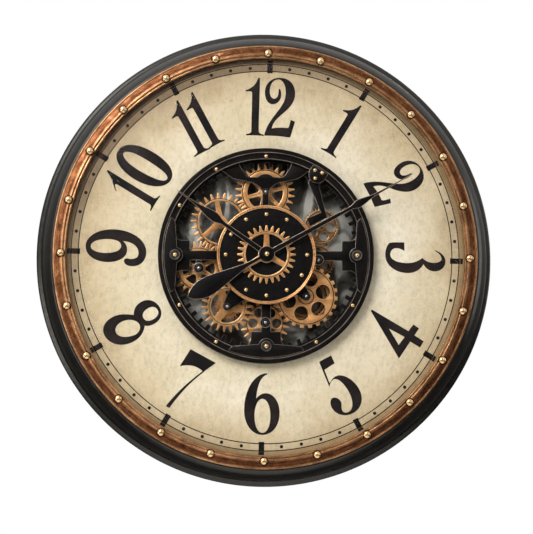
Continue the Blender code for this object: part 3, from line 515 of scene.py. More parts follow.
# What a piece is made of: its faces' material, its bevels' painted edge highlight where that differs, and the
# record's slot
CASE = [CASE_BLACK], "black_case"
PLATE = [PLATE_BLACK, PLATE_EDGE_HIGHLIGHT], "black_metal"
DULL_PLATE = [PLATE_BLACK, DULL_EDGE_HIGHLIGHT], "black_metal"
BARE_PLATE = [PLATE_BLACK], "black_metal"
INNER = [HIDDEN_BLACK], "black_metal"
HAND = [HAND_BLACK, HAND_EDGE_HIGHLIGHT], "black_metal"
GEAR = [COPPER, COPPER_EDGE_HIGHLIGHT], "copper"
# rear wheels: painted shade on their faces, with the plain copper as their painted edge highlight
REAR_GEAR = [SHADED_COPPER, COPPER], "copper"
GILT = [GOLD], "gold"
PIN = [STEEL], "steel"
BRACKET = [ZINC], "steel"
PRINTED = [PRINT], "dial"

# ---- solids

SHARP = math.radians(34)
DOME_STEPS = 6
BEVEL_TILT = (0.2, 0.96)  # how far a bevel's normal leans to the front, from and to


def finished(name, mesh, finish, nodes=(), body=STATIC):
    """A piece of the clock, which rides on a body and replaces its CAD nodes."""
    looks, slot = finish
    mesh.name = name
    mesh.transform(FACE)
    mesh.materials.clear()
    for look in looks:
        mesh.materials.append(look)
    # the bevels take the second material: a painted edge highlight
    if len(looks) > 1:
        for polygon in mesh.polygons:
            polygon.material_index = int(BEVEL_TILT[0] < abs(polygon.normal.y) < BEVEL_TILT[1])
    mesh.shade_smooth()
    mesh.set_sharp_from_angle(angle=SHARP)
    piece = bpy.data.objects.new(name, mesh)
    bpy.context.scene.collection.objects.link(piece)
    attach(piece, body)
    if nodes:
        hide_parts(*nodes)


def mesh_of(obj):
    bpy.context.view_layer.update()
    mesh = bpy.data.meshes.new_from_object(obj.evaluated_get(bpy.context.evaluated_depsgraph_get()))
    bpy.data.objects.remove(obj, do_unlink=True)
    return mesh


def slab(loops, low, high, bevel=0.3, centre=AXIS, rounds=1):
    """A flat plate with rounded edges. The first loop is its outline, and the rest are its openings."""
    curve = bpy.data.curves.new("outline", "CURVE")
    curve.dimensions = "2D"
    curve.fill_mode = "BOTH"
    curve.extrude = (high - low) / 2 - bevel
    curve.bevel_depth = bevel
    curve.bevel_resolution = rounds
    curve.offset = -bevel
    for points in loops:
        spline = curve.splines.new("POLY")
        spline.points.add(len(points) - 1)
        for corner, (x, y) in zip(spline.points, moved(points, centre)):
            corner.co = (x, y, 0, 1)
        spline.use_cyclic_u = True
    obj = bpy.data.objects.new("outline", curve)
    bpy.context.scene.collection.objects.link(obj)
    mesh = mesh_of(obj)
    bpy.data.curves.remove(curve)
    work = bmesh.new()
    work.from_mesh(mesh)
    bmesh.ops.remove_doubles(work, verts=work.verts, dist=0.002)
    bmesh.ops.recalc_face_normals(work, faces=work.faces)
    work.to_mesh(mesh)
    work.free()
    mesh.transform(Matrix.Translation((0, 0, (low + high) / 2)))
    return mesh


def lathe(profile, steps=ROUND, centre=AXIS, closed=True):
    """A turned solid from (radius, depth) points. A profile that isn't closed starts and ends on the axis."""
    work = bmesh.new()
    rows = []
    for r, d in profile:
        if r == 0:
            rows.append([work.verts.new((centre[0], centre[1], d))])
        else:
            rows.append([work.verts.new((*polar(r, 360 * i / steps, centre), d)) for i in range(steps)])
    pairs = list(zip(rows, rows[1:])) + ([(rows[-1], rows[0])] if closed else [])
    for first, second in pairs:
        for i in range(steps):
            j = (i + 1) % steps
            corners = [first[i % len(first)], first[j % len(first)]]
            corners += [second[j % len(second)], second[i % len(second)]]
            corners = list(dict.fromkeys(corners))  # a row on the axis has one point
            if len(corners) > 2:
                work.faces.new(corners)
    bmesh.ops.recalc_face_normals(work, faces=work.faces)
    mesh = bpy.data.meshes.new("turned")
    work.to_mesh(mesh)
    work.free()
    return mesh


def merged(meshes):
    """Several meshes as one, each still its own closed body."""
    work = bmesh.new()
    for mesh in meshes:
        work.from_mesh(mesh)
        bpy.data.meshes.remove(mesh)
    whole = bpy.data.meshes.new("merged")
    work.to_mesh(whole)
    work.free()
    return whole


def softened(profile, radius, steps=2, closed=True):
    """A profile with its corners rounded off."""
    points = []
    count = len(profile)
    for i, (r, d) in enumerate(profile):
        if not closed and i in (0, count - 1):
            points.append((r, d))
            continue
        here = Vector((r, d))
        before = Vector(profile[i - 1]) - here
        after = Vector(profile[(i + 1) % count]) - here
        reach = min(radius, before.length * 0.45, after.length * 0.45)
        start, end = here + before.normalized() * reach, here + after.normalized() * reach
        for k in range(steps + 1):
            t = k / steps
            p = start * (1 - t) ** 2 + here * 2 * t * (1 - t) + end * t * t
            points.append((p.x, p.y))
    return points


def cuff(inner, outer, low, high, soft=0):
    """The profile of a ring or a pipe, with its corners rounded off where soft says so."""
    corners = [(inner, low), (inner, high), (outer, high), (outer, low)]
    return softened(corners, soft) if soft else corners


def stud(radius, low, height, centre, sides=20, foot=0.6):
    """A rivet's or a pin's rounded head, on a short foot."""
    quarter = [math.pi / 2 * i / DOME_STEPS for i in range(1, DOME_STEPS + 1)]
    dome = [(0, low + height)] + [(radius * math.sin(a), low + height * math.cos(a)) for a in quarter]
    return lathe(dome + [(radius, low - foot), (0, low - foot)], sides, centre, closed=False)


# ---- case and bezel

BEZEL_FRONT = DIAL_FRONT + 8.0
BEZEL_INNER_R = 231.0
BEZEL_LOW = 43.5
RIVET_CIRCLE_R = 237.0
RIVET_TURN = 0.6  # the rivets start a little past 12
RIVETS = 24


def build_case():
    flange = depths("bezel_seat")[1]
    wall = [(CASE_R - 2.0, 0.0), (CASE_R, 0.0), (CASE_R, 9.6), (264.6, 11.2), (261.2, 12.6), (260.0, 14.2),
            (259.4, 19.0), (258.2, 26.0), (256.0, 32.6), (252.6, 38.4), (249.6, 41.8), (248.0, flange),
            (239.4, flange), (239.4, 41.6), (246.4, 41.4), (250.4, 37.6), (254.2, 31.2), (257.2, 21.0),
            (258.2, 12.4), (263.6, 9.0), (CASE_R - 2.0, 1.8), (250.0, 1.8), (250.0, 0.0)]
    finished("case_shell", lathe(softened(wall, 1.0, 3)), CASE, (*CASE_NODES, "rear_flange", "bezel_seat"))


def build_bezel():
    front, inner = BEZEL_FRONT, BEZEL_INNER_R
    profile = [(BEZEL_R, BEZEL_LOW), (BEZEL_R, front - 2.4), (BEZEL_R - 1.2, front - 1.5),
               (BEZEL_R - 2.8, front - 1.9), (240.0, front - 0.9), (236.8, front - 0.7), (235.4, front),
               (234.3, front - 0.6), (233.6, front - 2.1), (232.6, front - 1.5), (231.6, front - 1.7),
               (inner, front - 2.6), (inner, BEZEL_LOW)]
    mesh = lathe(softened(profile, 0.5), 480)
    for vertex in mesh.vertices:
        x, y, d = vertex.co
        if d > front - 1.4:  # hammered on its face only
            vertex.co.z += 0.28 * noise.noise(Vector((x, y, 0)) * 0.16)
            vertex.co.z += 0.16 * noise.noise(Vector((x, y, 9)) * 0.5)
    finished("bezel_band", mesh, ([BRONZE], "bronze"), ("rivet_ring",))
    spots = arc(RIVET_CIRCLE_R, RIVET_TURN, 360 - 360 / RIVETS + RIVET_TURN, RIVETS - 1)
    # a black ring round each rivet head: a painted shadow
    shadow_ring = [(5.3, front - 3.0), (5.3, front - 0.3), (4.3, front - 0.1), (4.3, front - 3.0)]
    shadow_rings = [lathe(softened(shadow_ring, 0.2), 28, spot) for spot in spots]
    finished("rivet_shadow_rings", merged(shadow_rings), BARE_PLATE)
    heads = [stud(4.25, front - 0.1, 2.7, spot, 28) for spot in spots]
    finished("rivet_heads", merged(heads), GILT)


LENS_R, LENS_WALL = 230.6, 3.0
LENS_FLANGE_R = 238.0
LENS_FOOT = 43.3
LENS_RISE = 33.0
LENS_STEPS = 40


def lens_height(radius, edge_r, low):
    """A dome that is nearly flat over the dial and falls steeply at its edge."""
    return low + LENS_RISE * math.sqrt(max(0.0, 1 - (radius / edge_r) ** 8))


def build_lens():
    inner_r, under = LENS_R - LENS_WALL, LENS_FOOT - LENS_WALL
    radii = [LENS_R * math.sin(math.pi / 2 * i / LENS_STEPS) for i in range(LENS_STEPS + 1)]
    outer = [(r, lens_height(r, LENS_R, LENS_FOOT)) for r in radii]
    inner = [(r * inner_r / LENS_R, lens_height(r * inner_r / LENS_R, inner_r, under))
             for r in reversed(radii)]
    profile = outer + [(LENS_FLANGE_R, LENS_FOOT), (LENS_FLANGE_R, under)] + inner
    profile[0], profile[-1] = (0, profile[0][1]), (0, profile[-1][1])
    finished("lens", lathe(profile, closed=False), ([GLASS], "glass"), ("glass_lens",))


# ---- dial and its printing

DIAL_R, DIAL_HOLE_R = 238.0, 115.7
INK_LOW, INK_HIGH = DIAL_FRONT - 0.02, DIAL_FRONT + 0.08
TRACK_INNER, TRACK_OUTER, TRACK_LINE = 216.9, 225.2, 1.1
TRACK_TURN = 1.3  # the printed track stands a little past the figures
TRACK_DOT_R = 1.95


def ink(loops):
    return slab(loops, INK_LOW, INK_HIGH, 0.0, rounds=0)


def build_dial():
    front, back = DIAL_FRONT, depths("dial_plate")[0]
    profile = [(DIAL_R, back), *((r, front) for r in (DIAL_R, 215.0, 180.0, 140.0, DIAL_HOLE_R)),
               (DIAL_HOLE_R, back)]
    finished("dial_face", lathe(profile), ([PARCHMENT], "dial"), ("dial_plate",))


def build_track():
    middle, half = (TRACK_INNER + TRACK_OUTER) / 2, TRACK_LINE / 2
    printed = [ink([ring(r + half, ROUND), ring(r - half, ROUND)]) for r in (TRACK_INNER, TRACK_OUTER)]
    printed += [ink([ring(TRACK_DOT_R, 24, polar(middle, 6 * i + TRACK_TURN))]) for i in range(60) if i % 5]
    bar = [(-3.2, 214.8), (3.2, 214.8), (3.2, 229.8), (-3.2, 229.8)]
    printed += [ink([turned_by(bar, 30 * i + TRACK_TURN)]) for i in range(12)]
    finished("minute_track", merged(printed), PRINTED)


def figure_one(tip=(-17.2, 79.5)):
    return [bezier((4.4, 103.5), [
        (7.4, 103.5), (7.2, 70, 5.2, 35, 5.2, 9), (6.0, 6, 9, 4.4, 14, 3.2), (14, 0.8),
        (8, 2.2, -10, 2.4, -17, 1.8),
        (-17, 4.2), (-12, 5, -8.2, 6, -7.8, 9), (-7.4, 35, -6.4, 60, -6.4, 77), (-7.0, 80.5, -10, 79.4, *tip),
        (tip[0] - 0.6, tip[1] + 2.0), (-8, 85, 0, 90, 4.4, 103.5)])]


# Each figure stands 100 units high on 0. Its first outline is its body, and the others are its holes.
FIGURES = {
    "1": figure_one(),
    "1b": figure_one((-16.6, 71.0)),
    "2": [bezier((24.5, 84.5), [
        (27, 82, 28, 74, 26.5, 69), (24, 61, 18, 57, 12, 57), (4, 57, -1.5, 66, -1.5, 78),
        (-1.5, 92, 8, 104, 25, 104),
        (41, 104, 51.5, 93, 51.5, 76), (51.5, 62, 42, 51, 32, 42.5), (22, 34, 13, 27, 10.5, 14.4),
        (18, 16.5, 32, 16.2, 38.5, 15.4), (41, 17, 42, 23, 43.5, 29.8), (51.2, 26.6), (42.8, -1.2),
        (38, -1.4, 30, 0.4, 20, 1.2), (-2.5, 1.8), (-2.5, 4), (2, 20, 9, 29, 18, 41),
        (27, 53, 35, 62, 35, 78),
        (35, 91, 30, 101, 22, 101), (13, 101, 7, 92, 7, 80), (7, 72, 10, 67, 15, 67),
        (20, 67, 23, 74, 22.6, 84)])],
    "3": [bezier((-11.4, 85), [
        (-9, 96, -1, 104, 8, 104), (18, 104, 25.4, 95, 25.4, 85), (25.4, 76, 20, 69, 13, 65.2),
        (22, 61, 28.6, 50, 28.6, 38), (28.6, 16, 15, -1.4, -3, -1.4), (-12, -1.4, -20, 1.6, -24, 6),
        (-26, 14, -25, 24, -25, 32.2), (-10, 32.2), (-13, 28, -15, 23, -15, 18), (-15, 12, -10, 7.4, -4, 7.4),
        (5, 7.4, 11, 18, 11, 38), (11, 50, 6, 58, 2, 63.4), (7, 68, 10.5, 76, 10.5, 84),
        (10.5, 91, 7.5, 97, 3.5, 97), (-1, 97, -8, 92, -10.2, 85)])],
    "4": [bezier((9, 103.5), [(12.4, 103.5), (11.6, 29.6), (25.4, 28.2), (26, 26.6), (25, 16), (10.6, 17),
                              (9.6, -2),
                              (-3, -2), (-2.6, 18), (-38, 20.4)]),
          bezier((-1.6, 61), [(-17.6, 32.6), (-0.6, 30.4)])],
    "5": [bezier((-11.6, 104.4), [
        (12, 103.6), (10.6, 88.8), (-10.6, 87.6), (-14.4, 63.4), (-11, 65, -6, 68.4, 0, 68.4),
        (13, 68.4, 25, 50, 25, 30), (25, 12, 13, -1.8, -4, -1.8), (-20, -1.8, -32.4, 10, -32.4, 24),
        (-32.4, 32, -28, 38.6, -23.5, 38.6), (-18, 38.6, -13.4, 33, -13.4, 26), (-13.4, 21, -19, 17, -19, 11),
        (-19, 6, -14, 4, -10, 4), (0, 4, 7, 18, 7, 36), (7, 52, 2, 65.4, -5, 65.4),
        (-10, 65.4, -14, 62, -18, 58.4)])],
    "6": [bezier((2.4, 106.2), [
        (2.4, 103.6), (-8, 101, -15, 85, -16.4, 62.6), (-12, 68, -6, 71.6, 0, 71.6),
        (14, 71.6, 24, 56, 24, 38),
        (24, 16, 12, -0.2, -6, -0.2), (-24, -0.2, -37.4, 18, -37.4, 42),
        (-37.4, 80, -18, 106.2, 2.4, 106.2)]),
          bezier((-6, 62), [(2, 62, 8, 49, 8, 33), (8, 16, 3, 3.4, -6, 3.4), (-14, 3.4, -19.5, 16, -19.5, 33),
                            (-19.5, 49, -13, 62, -6, 62)])],
    "7": [bezier((-31.6, 104.2), [
        (18.2, 105.4), (13, 93, 9, 86, 7.8, 80.5), (-3, 56, -9, 30, -12.2, -2), (-19, -2),
        (-16, 22, -9, 48, 5.4, 81.6),
        (-8, 85, -22, 80, -33, 69)])],
    "8": [bezier((-14, 105.6), [
        (-2, 105.6, 6, 97, 6, 84), (6, 76, 4, 71, 0.6, 67.6), (9, 61, 15, 52, 15, 38),
        (15, 16, 0, -1.2, -18, -1.2),
        (-31, -1.2, -40, 9, -40, 25), (-40, 40, -32, 50, -25, 60.4), (-33, 64, -38.2, 72, -38.2, 82),
        (-38.2, 96, -28, 105.6, -14, 105.6)]),
          bezier((-12, 100), [(-5, 100, -1.6, 94, -1.6, 86), (-1.6, 78, -5, 72, -12, 72),
                              (-19, 72, -22.6, 79, -22.6, 87),
                              (-22.6, 95, -19, 100, -12, 100)]),
          bezier((-6, 60.4), [(2, 60, 7, 52, 6, 44), (3, 28, -4, 18.6, -13, 18.6),
                              (-21, 18.6, -25, 27, -25, 35),
                              (-25, 48, -16, 60.4, -6, 60.4)])],
    "9": [bezier((16, 102.6), [
        (33, 102.6, 45.6, 82, 45.6, 56), (45.6, 24, 28, -2.6, 6, -2.6), (-9, -2.6, -18.6, 8, -18.6, 21),
        (-18.6, 30, -15, 36, -9.5, 36), (-6, 36, -4.5, 33, -5, 30), (-5.5, 27, -6.5, 24, -5.5, 20),
        (-4.5, 14, -2, 11, 5, 11), (16, 11, 24, 22, 25, 37.4), (21, 33, 16, 30.6, 10, 30.6),
        (-3, 30.6, -11.6, 45, -11.6, 63), (-11.6, 86, 0, 102.6, 16, 102.6)]),
          bezier((16, 93.6), [(24, 93.6, 28.6, 80, 28.6, 66), (28.6, 50, 24, 41, 17, 41),
                              (9, 41, 4.4, 52, 4.4, 67),
                              (4.4, 82, 9, 93.6, 16, 93.6)])],
    "0": [bezier((30, 104.6), [
        (47, 104.6, 58.6, 84, 58.6, 53), (58.6, 22, 50, -0.6, 32, -0.6), (14, -0.6, 1, 24, 1, 52),
        (1, 82, 12, 104.6, 30, 104.6)]),
          bezier((31, 94), [(37, 94, 42, 82, 41, 53), (40, 24, 38, 6, 30, 6), (22, 6, 18.5, 26, 18.5, 52),
                            (18.5, 78, 24, 94, 31, 94)])],
}

# The hours whose figures don't stand on their own at 0: each figure, with how far it is to the right
HOURS = {12: [("1", -17.5), ("2", 0)], 1: [("1", 6)], 2: [("2", -23)], 10: [("1b", -15.5), ("0", 0)],
         11: [("1", -4), ("1", 25.5)]}
FIGURE_UNIT = 0.668
FIGURE_INNER_R = 140.0
FIGURE_OUTER_R = 206.6


def build_numerals():
    """The upper hours' figures stand on the inner circle. Those of 4 to 8 hang from the outer one."""
    meshes = []
    for hour in (12, *range(1, 12)):
        upright = 4 <= hour <= 8
        foot = -FIGURE_OUTER_R if upright else FIGURE_INNER_R
        turn = 30 * hour + (180 if upright else 0)
        for key, shift in HOURS.get(hour, [(str(hour), 0)]):
            loops = [[((x + shift) * FIGURE_UNIT, foot + y * FIGURE_UNIT) for x, y in loop]
                     for loop in FIGURES[key]]
            meshes.append(ink([turned_by(loop, turn) for loop in loops]))
    finished("numerals", merged(meshes), PRINTED)


# ---- window ring and its plates

RIVET_GOLD_R = 2.4
SEGMENT_CHORD = 105.2
SEGMENT_LOW, SEGMENT_HIGH = 50.9, 52.9
SEAT_R = 118.3


def gold_rivets(name, spots, low, radius=RIVET_GOLD_R):
    finished(name, merged([stud(radius, low, radius * 0.75, spot, 18, 0.4) for spot in spots]), GILT)


def circle_points(radius, count, steps):
    """The first points of a small circle that is cut into steps, from its right side."""
    angles = [2 * math.pi / steps * i for i in range(count)]
    return [(radius * math.cos(a), radius * math.sin(a)) for a in angles]


def build_window_ring():
    low, inner, front = DIAL_FRONT + 0.3, 111.6, WINDOW_FRONT
    under = front - 4.6
    profile = [(WINDOW_R, low), (WINDOW_R, front - 1.4), (WINDOW_R - 1.4, front), (120.2, front),
               (119.2, front - 0.7), (119.2, front - 1.4), (112.9, front - 1.4), (111.9, front - 0.9),
               (inner, front - 1.6), (inner, under), (118.6, under), (118.6, low)]
    finished("ring_body", lathe(softened(profile, 0.35)), BARE_PLATE, ("window_ring",))
    # thin beads in the light edge colour: painted highlight lines along the ring's two step edges
    for name, radius, depth in (("ring_outer_highlight", 119.9, front - 0.25),
                                ("ring_inner_highlight", 112.3, front - 1.25)):
        bead = moved(circle_points(0.42, 6, 6), (radius, depth))
        finished(name, lathe(bead), ([PLATE_EDGE_HIGHLIGHT], "black_metal"))
    gold_rivets("ring_rivets", [polar(115.5, 30 * i) for i in (0, 4, 5, 7, 8, 10, 11)], front - 1.4)


def build_toothed_ring():
    loops = [ring(118.0, ROUND), square_gear(60, 109.2, 103.4, 3.0, 0.42, 0.40)]
    finished("inner_teeth", slab(loops, *depths("toothed_ring"), 0.2), DULL_PLATE, ("toothed_ring",))


def segment_outline():
    shoulder = SEGMENT_CHORD * math.tan(math.radians(21.0))
    bump = arc(9.0, 105, 255, 16, (0, SEGMENT_CHORD))
    right = [(shoulder + 2.2, SEGMENT_CHORD + 3.2), (shoulder - 1.0, SEGMENT_CHORD)]
    left = [(-shoulder + 1.0, SEGMENT_CHORD), (-shoulder - 2.2, SEGMENT_CHORD + 3.2)]
    return arc(SEAT_R, -21.5, 21.5, 24) + right + bump + left


def build_segment(name, clock_deg):
    plate = slab([turned_by(segment_outline(), clock_deg)], SEGMENT_LOW, SEGMENT_HIGH, 0.35)
    finished(name, plate, PLATE, (name.replace("cover", "segment_plate"),))
    spot = polar(SEGMENT_CHORD, clock_deg)
    top = SEGMENT_HIGH
    boss = [(6.2, top - 0.4), (6.2, top + 1.4), (5.2, top + 1.9), (4.4, top + 1.2), (3.6, top + 1.2),
            (3.2, top + 1.8), (2.3, top + 1.8), (2.3, top - 0.4)]
    finished(name + "_boss", lathe(softened(boss, 0.25), 48, spot), DULL_PLATE)
    gold_rivets(name + "_screw", [spot], top + 1.3, radius=2.75)


# ---- wheels

COARSE, FINE = 2.4, 1.2  # modules of the two kinds of teeth
COARSE_TIP, COARSE_ROOT = 1.40, 1.55
GROOVE_W = 1.2
BORE_R = 2.3
SHOW_HOLES_R = 20.4


def holes(count, circle_r, radius, phase=0.0, steps=28):
    return [ring(radius, steps, polar(circle_r, phase + 360 * i / count)) for i in range(count)]


def spoke_holes(count, phase, radii, size=0.85):
    return [ring(size, 10, polar(r, phase + 360 * i / count)) for i in range(count) for r in radii]


def coarse(count, phase):
    pitch = COARSE * count / 2
    return gear(count, pitch - COARSE_ROOT * COARSE, pitch + COARSE_TIP * COARSE, phase, 0.56, 0.18)


def fine(count, phase):
    pitch = FINE * count / 2
    return gear(count, pitch - 1.25 * FINE, pitch + FINE, phase, 0.5, 0.12)


def layer_of(node):
    """The depths of a wheel's toothed plate, inside those of its hub."""
    low, high = depths(node)
    return low + 1, high - 1


FRONT, REAR = layer_of("top_wheel"), layer_of("bottom_wheel")
SHOW, THIN = layer_of("lower_right_wheel"), layer_of("right_wheel")


def wheel(body, layer, loops, hub_r, raised=(), grooves=(), finish=GEAR, hub_top=1.0, name=None):
    """A wheel's toothed plate with its openings, raised bands, dark grooves and hub."""
    low, high = layer
    centre = PIVOT[body]
    name = name or body + "_gear"
    finished(name, slab(loops + [ring(BORE_R, 24)], low, high, 0.28, centre), finish, (body + "_wheel",),
             body)
    for i, (inner, outer) in enumerate(raised):
        band = lathe(cuff(inner, outer, high - 0.3, high + 0.5, 0.22), 120, centre)
        finished(f"{name}_band{i}", band, finish, body=body)
    for i, radius in enumerate(grooves):
        line = cuff(radius - GROOVE_W / 2, radius + GROOVE_W / 2, high - 0.3, high + 0.06)
        finished(f"{name}_groove{i}", lathe(line, 120, centre), ([GROOVE], "copper"), body=body)
    hub = [(BORE_R, low - 0.9), (BORE_R, high + hub_top), (hub_r - 1.8, high + hub_top),
           (hub_r - 1.4, high + 0.45),
           (hub_r, high + 0.45), (hub_r, low - 0.9)]
    finished(name + "_hub", lathe(softened(hub, 0.25), 48, centre), finish, body=body)


def build_wheels():
    """Each wheel's first tooth stands where the wheel that drives it leaves a gap."""
    drive_at = PIVOT["lower_right"]
    upper_left = beside(0, 26, PIVOT["top"], PIVOT["upper_left"], 26)
    left = beside(upper_left, 26, PIVOT["upper_left"], PIVOT["left"], 24)
    lower_left = beside(left, 24, PIVOT["left"], PIVOT["lower_left"], 22)
    drive = beside(0, 29, (0.0, 0.0), drive_at, 26)
    bottom = beside(drive, 26, drive_at, PIVOT["bottom"], 21)
    right = beside(0, 41, drive_at, PIVOT["right"], 33)
    upper_right = beside(right, 33, PIVOT["right"], PIVOT["upper_right"], 35)

    wheel("top", FRONT, [coarse(26, 0)] + windows(6, 8.0, 20.6, 4.6, 15) + spoke_holes(6, 15, (10.8, 14.4)),
          5.4,
          raised=[(20.9, 25.6)], grooves=[26.3])
    wheel("upper_left", FRONT, [coarse(26, upper_left)] + windows(3, 7.6, 24.8, 5.0, 350, 1.3), 6.0,
          raised=[(25.0, 26.8)], grooves=[27.2], hub_top=1.4)
    wheel("left", FRONT, [coarse(24, left)] + windows(6, 8.2, 18.8, 4.6, 0)
          + spoke_holes(6, 0, (9.8, 12.8, 15.8)), 5.4,
          raised=[(19.1, 23.2)], grooves=[23.9])
    wheel("lower_left", FRONT, [coarse(22, lower_left)] + windows(3, 8.6, 18.6, 9.0, 98), 5.0,
          raised=[(18.9, 20.6), (21.4, 22.4)], grooves=[21.0])
    pinion = [fine(24, 0)] + windows(3, 4.6, 9.6, 3.4, 38) + [ring(2.6, 20)]
    finished("lower_left_pinion", slab(pinion, 31.0, 33.4, 0.2, PIVOT["lower_left"]), GEAR, body="lower_left")
    wheel("bottom", REAR, [coarse(21, bottom)] + holes(6, 13.8, 5.6, 30), 4.6, grooves=[21.0])
    wheel("lower_right", SHOW, [square_gear(23, 33.4, 36.8)] + holes(6, SHOW_HOLES_R, 8.3, 15, 40), 6.4,
          raised=[(6.8, 7.6)], grooves=[32.1, 8.9], name="show_gear")
    for i in range(6):
        collar = cuff(8.35, 9.3, SHOW[1] - 0.3, SHOW[1] + 0.35, 0.2)
        spot = polar(SHOW_HOLES_R, 15 + 60 * i, drive_at)
        finished(f"show_gear_collar{i}", lathe(collar, 40, spot), GEAR, body="lower_right")
    loops = windows(3, 8.0, 25.4, 5.0, 45) + [ring(2.4, 20)]
    finished("drive_gear", slab([coarse(26, drive)] + loops, *REAR, 0.25, drive_at), REAR_GEAR,
             ("lower_right_drive_wheel",), "lower_right")
    loops = [fine(41, 0)] + windows(3, 8.0, 20.6, 5.0, 45) + [ring(2.4, 20)]
    finished("drive_fine_gear", slab(loops, *THIN, 0.2, drive_at), REAR_GEAR, body="lower_right")
    pipe = cuff(2.4, 6.0, THIN[0], SHOW[0] - 1.3, 0.3)
    finished("drive_pipe", lathe(pipe, 40, drive_at), ([SHADED_COPPER], "copper"), body="lower_right")
    wheel("right", THIN, [fine(33, right)] + holes(6, 11.6, 4.4), 5.0, grooves=[17.0], finish=REAR_GEAR)
    wheel("upper_right", THIN, [fine(35, upper_right)] + holes(5, 11.4, 5.2, 20), 5.0, raised=[(18.4, 19.0)],
          grooves=[17.9], finish=([SHADED_COPPER, COPPER_EDGE_HIGHLIGHT], "copper"))


# ---- posts, bridges, yoke, lever and spider

POST_R = 1.9
TALL_POST = 45  # a post that ends above this depth shows its end


def build_post(name, centre):
    low, top = depths(name)
    shaft = [(0, top - 1.0), (1.7, top - 1.0), (POST_R, top - 2.0), (POST_R, low + 2.0), (3.4, low + 2.0),
             (3.4, low),
             (0, low)]
    finished(name + "_pin", lathe(shaft, 24, centre, closed=False), PIN, (name,))
    if top > TALL_POST:
        finished(name + "_ball", stud(1.95, top - 1.6, 1.55, centre, 20, 0.6), PIN)
        seat, collar_top = BRIDGE_HIGH - 0.2, BRIDGE_HIGH + 1.4
        jewel = [(2.3, seat), (2.3, collar_top), (3.2, collar_top), (3.9, collar_top - 0.8), (3.9, seat)]
        finished(name + "_collar", lathe(softened(jewel, 0.2), 36, centre),
                 ([DISC_BLACK, DULL_EDGE_HIGHLIGHT], "black_metal"))


def post_plate(name, node, outline, bores=(), low=BRIDGE_LOW, high=BRIDGE_HIGH):
    loops = [outline] + [ring(2.25, 24, spot) for spot in bores]
    finished(name, slab(loops, low, high, 0.35), PLATE, (node,) if node else ())


def build_bridge(side, clock_deg):
    right_half = [(5.5, 54.4), (5.5, 87.2), (6.3, 88.0), (16.9, 88.0), (17.5, 88.6), (17.5, 97.0)]
    right_half += arc(8.0, 270, 342, 14, (25.5, 97.0)) + arc(116.0, 15.5, 1, 8)
    post_plate(f"{side}_bridge_plate", f"{side}_bridge", turned_by(mirrored(right_half), clock_deg))
    post_at = PIVOT[side]
    foot, top = BRIDGE_LOW + 0.2, BRIDGE_HIGH + 0.7
    lobe = [(2.25, foot), (2.25, top), (5.4, top), (6.4, BRIDGE_HIGH), (6.4, foot)]
    finished(f"{side}_bridge_lobe", lathe(softened(lobe, 0.25), 48, post_at), PLATE)
    x, y = turned_by([post_at], -clock_deg)[0]
    if abs(x) > 6.4:  # the post stands beside the bridge, on a short stem
        near, far = math.copysign(5.4, x), x - math.copysign(5.0, x)
        stem = turned_by([(near, y - 3.2), (near, y + 3.2), (far, y + 3.2), (far, y - 3.2)], clock_deg)
        finished(f"{side}_bridge_stem", slab([stem], BRIDGE_LOW + 0.4, BRIDGE_HIGH - 0.3, 0.3), PLATE)


def build_yoke():
    half = [(3.6, 54.6)] + bezier((3.6, 73.0), [(3.8, 77.0, 8.0, 82.5, 15.8, 85.1)], 8)
    half += [(37.7, 89.5), (53.2, 100.6)] + arc(116.0, 27.6, 15.4, 8) + [(29.7, 104.8)]
    half += bezier((24.2, 95.8), [(23.0, 92.0, 17.0, 90.6, 13.4, 91.6)], 5) + arc(12.9, 44, 3, 8, (0, 82.4))
    at = PIVOT["top"]
    post_plate("yoke", "top_yoke", moved(mirrored(half), (at[0], 0)), [at])


def build_lever():
    outline = [(52.0, 92.0), (49.0, 85.4), (63.6, 50.6), (47.2, 43.4), (51.2, 34.4), (71.0, 44.6),
               (61.4, 82.6),
               (66.0, 88.0), (64.0, 96.0)]
    tab_at, tab_deg, tab_low, tab_high = (59.6, 94.4), 32.3, 50.9, 52.5
    post_plate("lever", "bent_lever", outline)
    tab = arc(SEAT_R, tab_deg - 5, tab_deg + 5, 8) + arc(10.4, tab_deg + 90, tab_deg + 270, 28, tab_at)
    post_plate("lever_tab", None, tab, (), tab_low, tab_high)
    neck = [(0, 51.0), (4.6, 51.0), (4.6, BRIDGE_LOW + 0.4), (0, BRIDGE_LOW + 0.4)]
    finished("lever_neck", lathe(neck, 32, polar(105.6, tab_deg), closed=False), BARE_PLATE)
    gold_rivets("lever_rivets", [polar(5.6, angle, tab_at) for angle in (-32, 72, 212)], tab_high)


def finger(to, base_deg, base_w):
    root = polar(47.8, base_deg)
    along = math.degrees(math.atan2(to[0] - root[0], to[1] - root[1]))
    left, right = polar(base_w / 2, along - 90, root), polar(base_w / 2, along + 90, root)
    return [left] + arc(5.2, along - 80, along + 80, 18, to) + [right]


def build_spider():
    post_plate("spider_ring", "spider_plate", ring(53.8, 120))
    for body, base_deg, base_w in (("lower_left", 216, 26), ("lower_right", 135, 18)):
        to = PIVOT[body]
        post_plate(body + "_finger", None, finger(to, base_deg, base_w), [to], BRIDGE_LOW + 0.2,
                   BRIDGE_HIGH - 0.2)


# ---- centre disc, its rim and gear


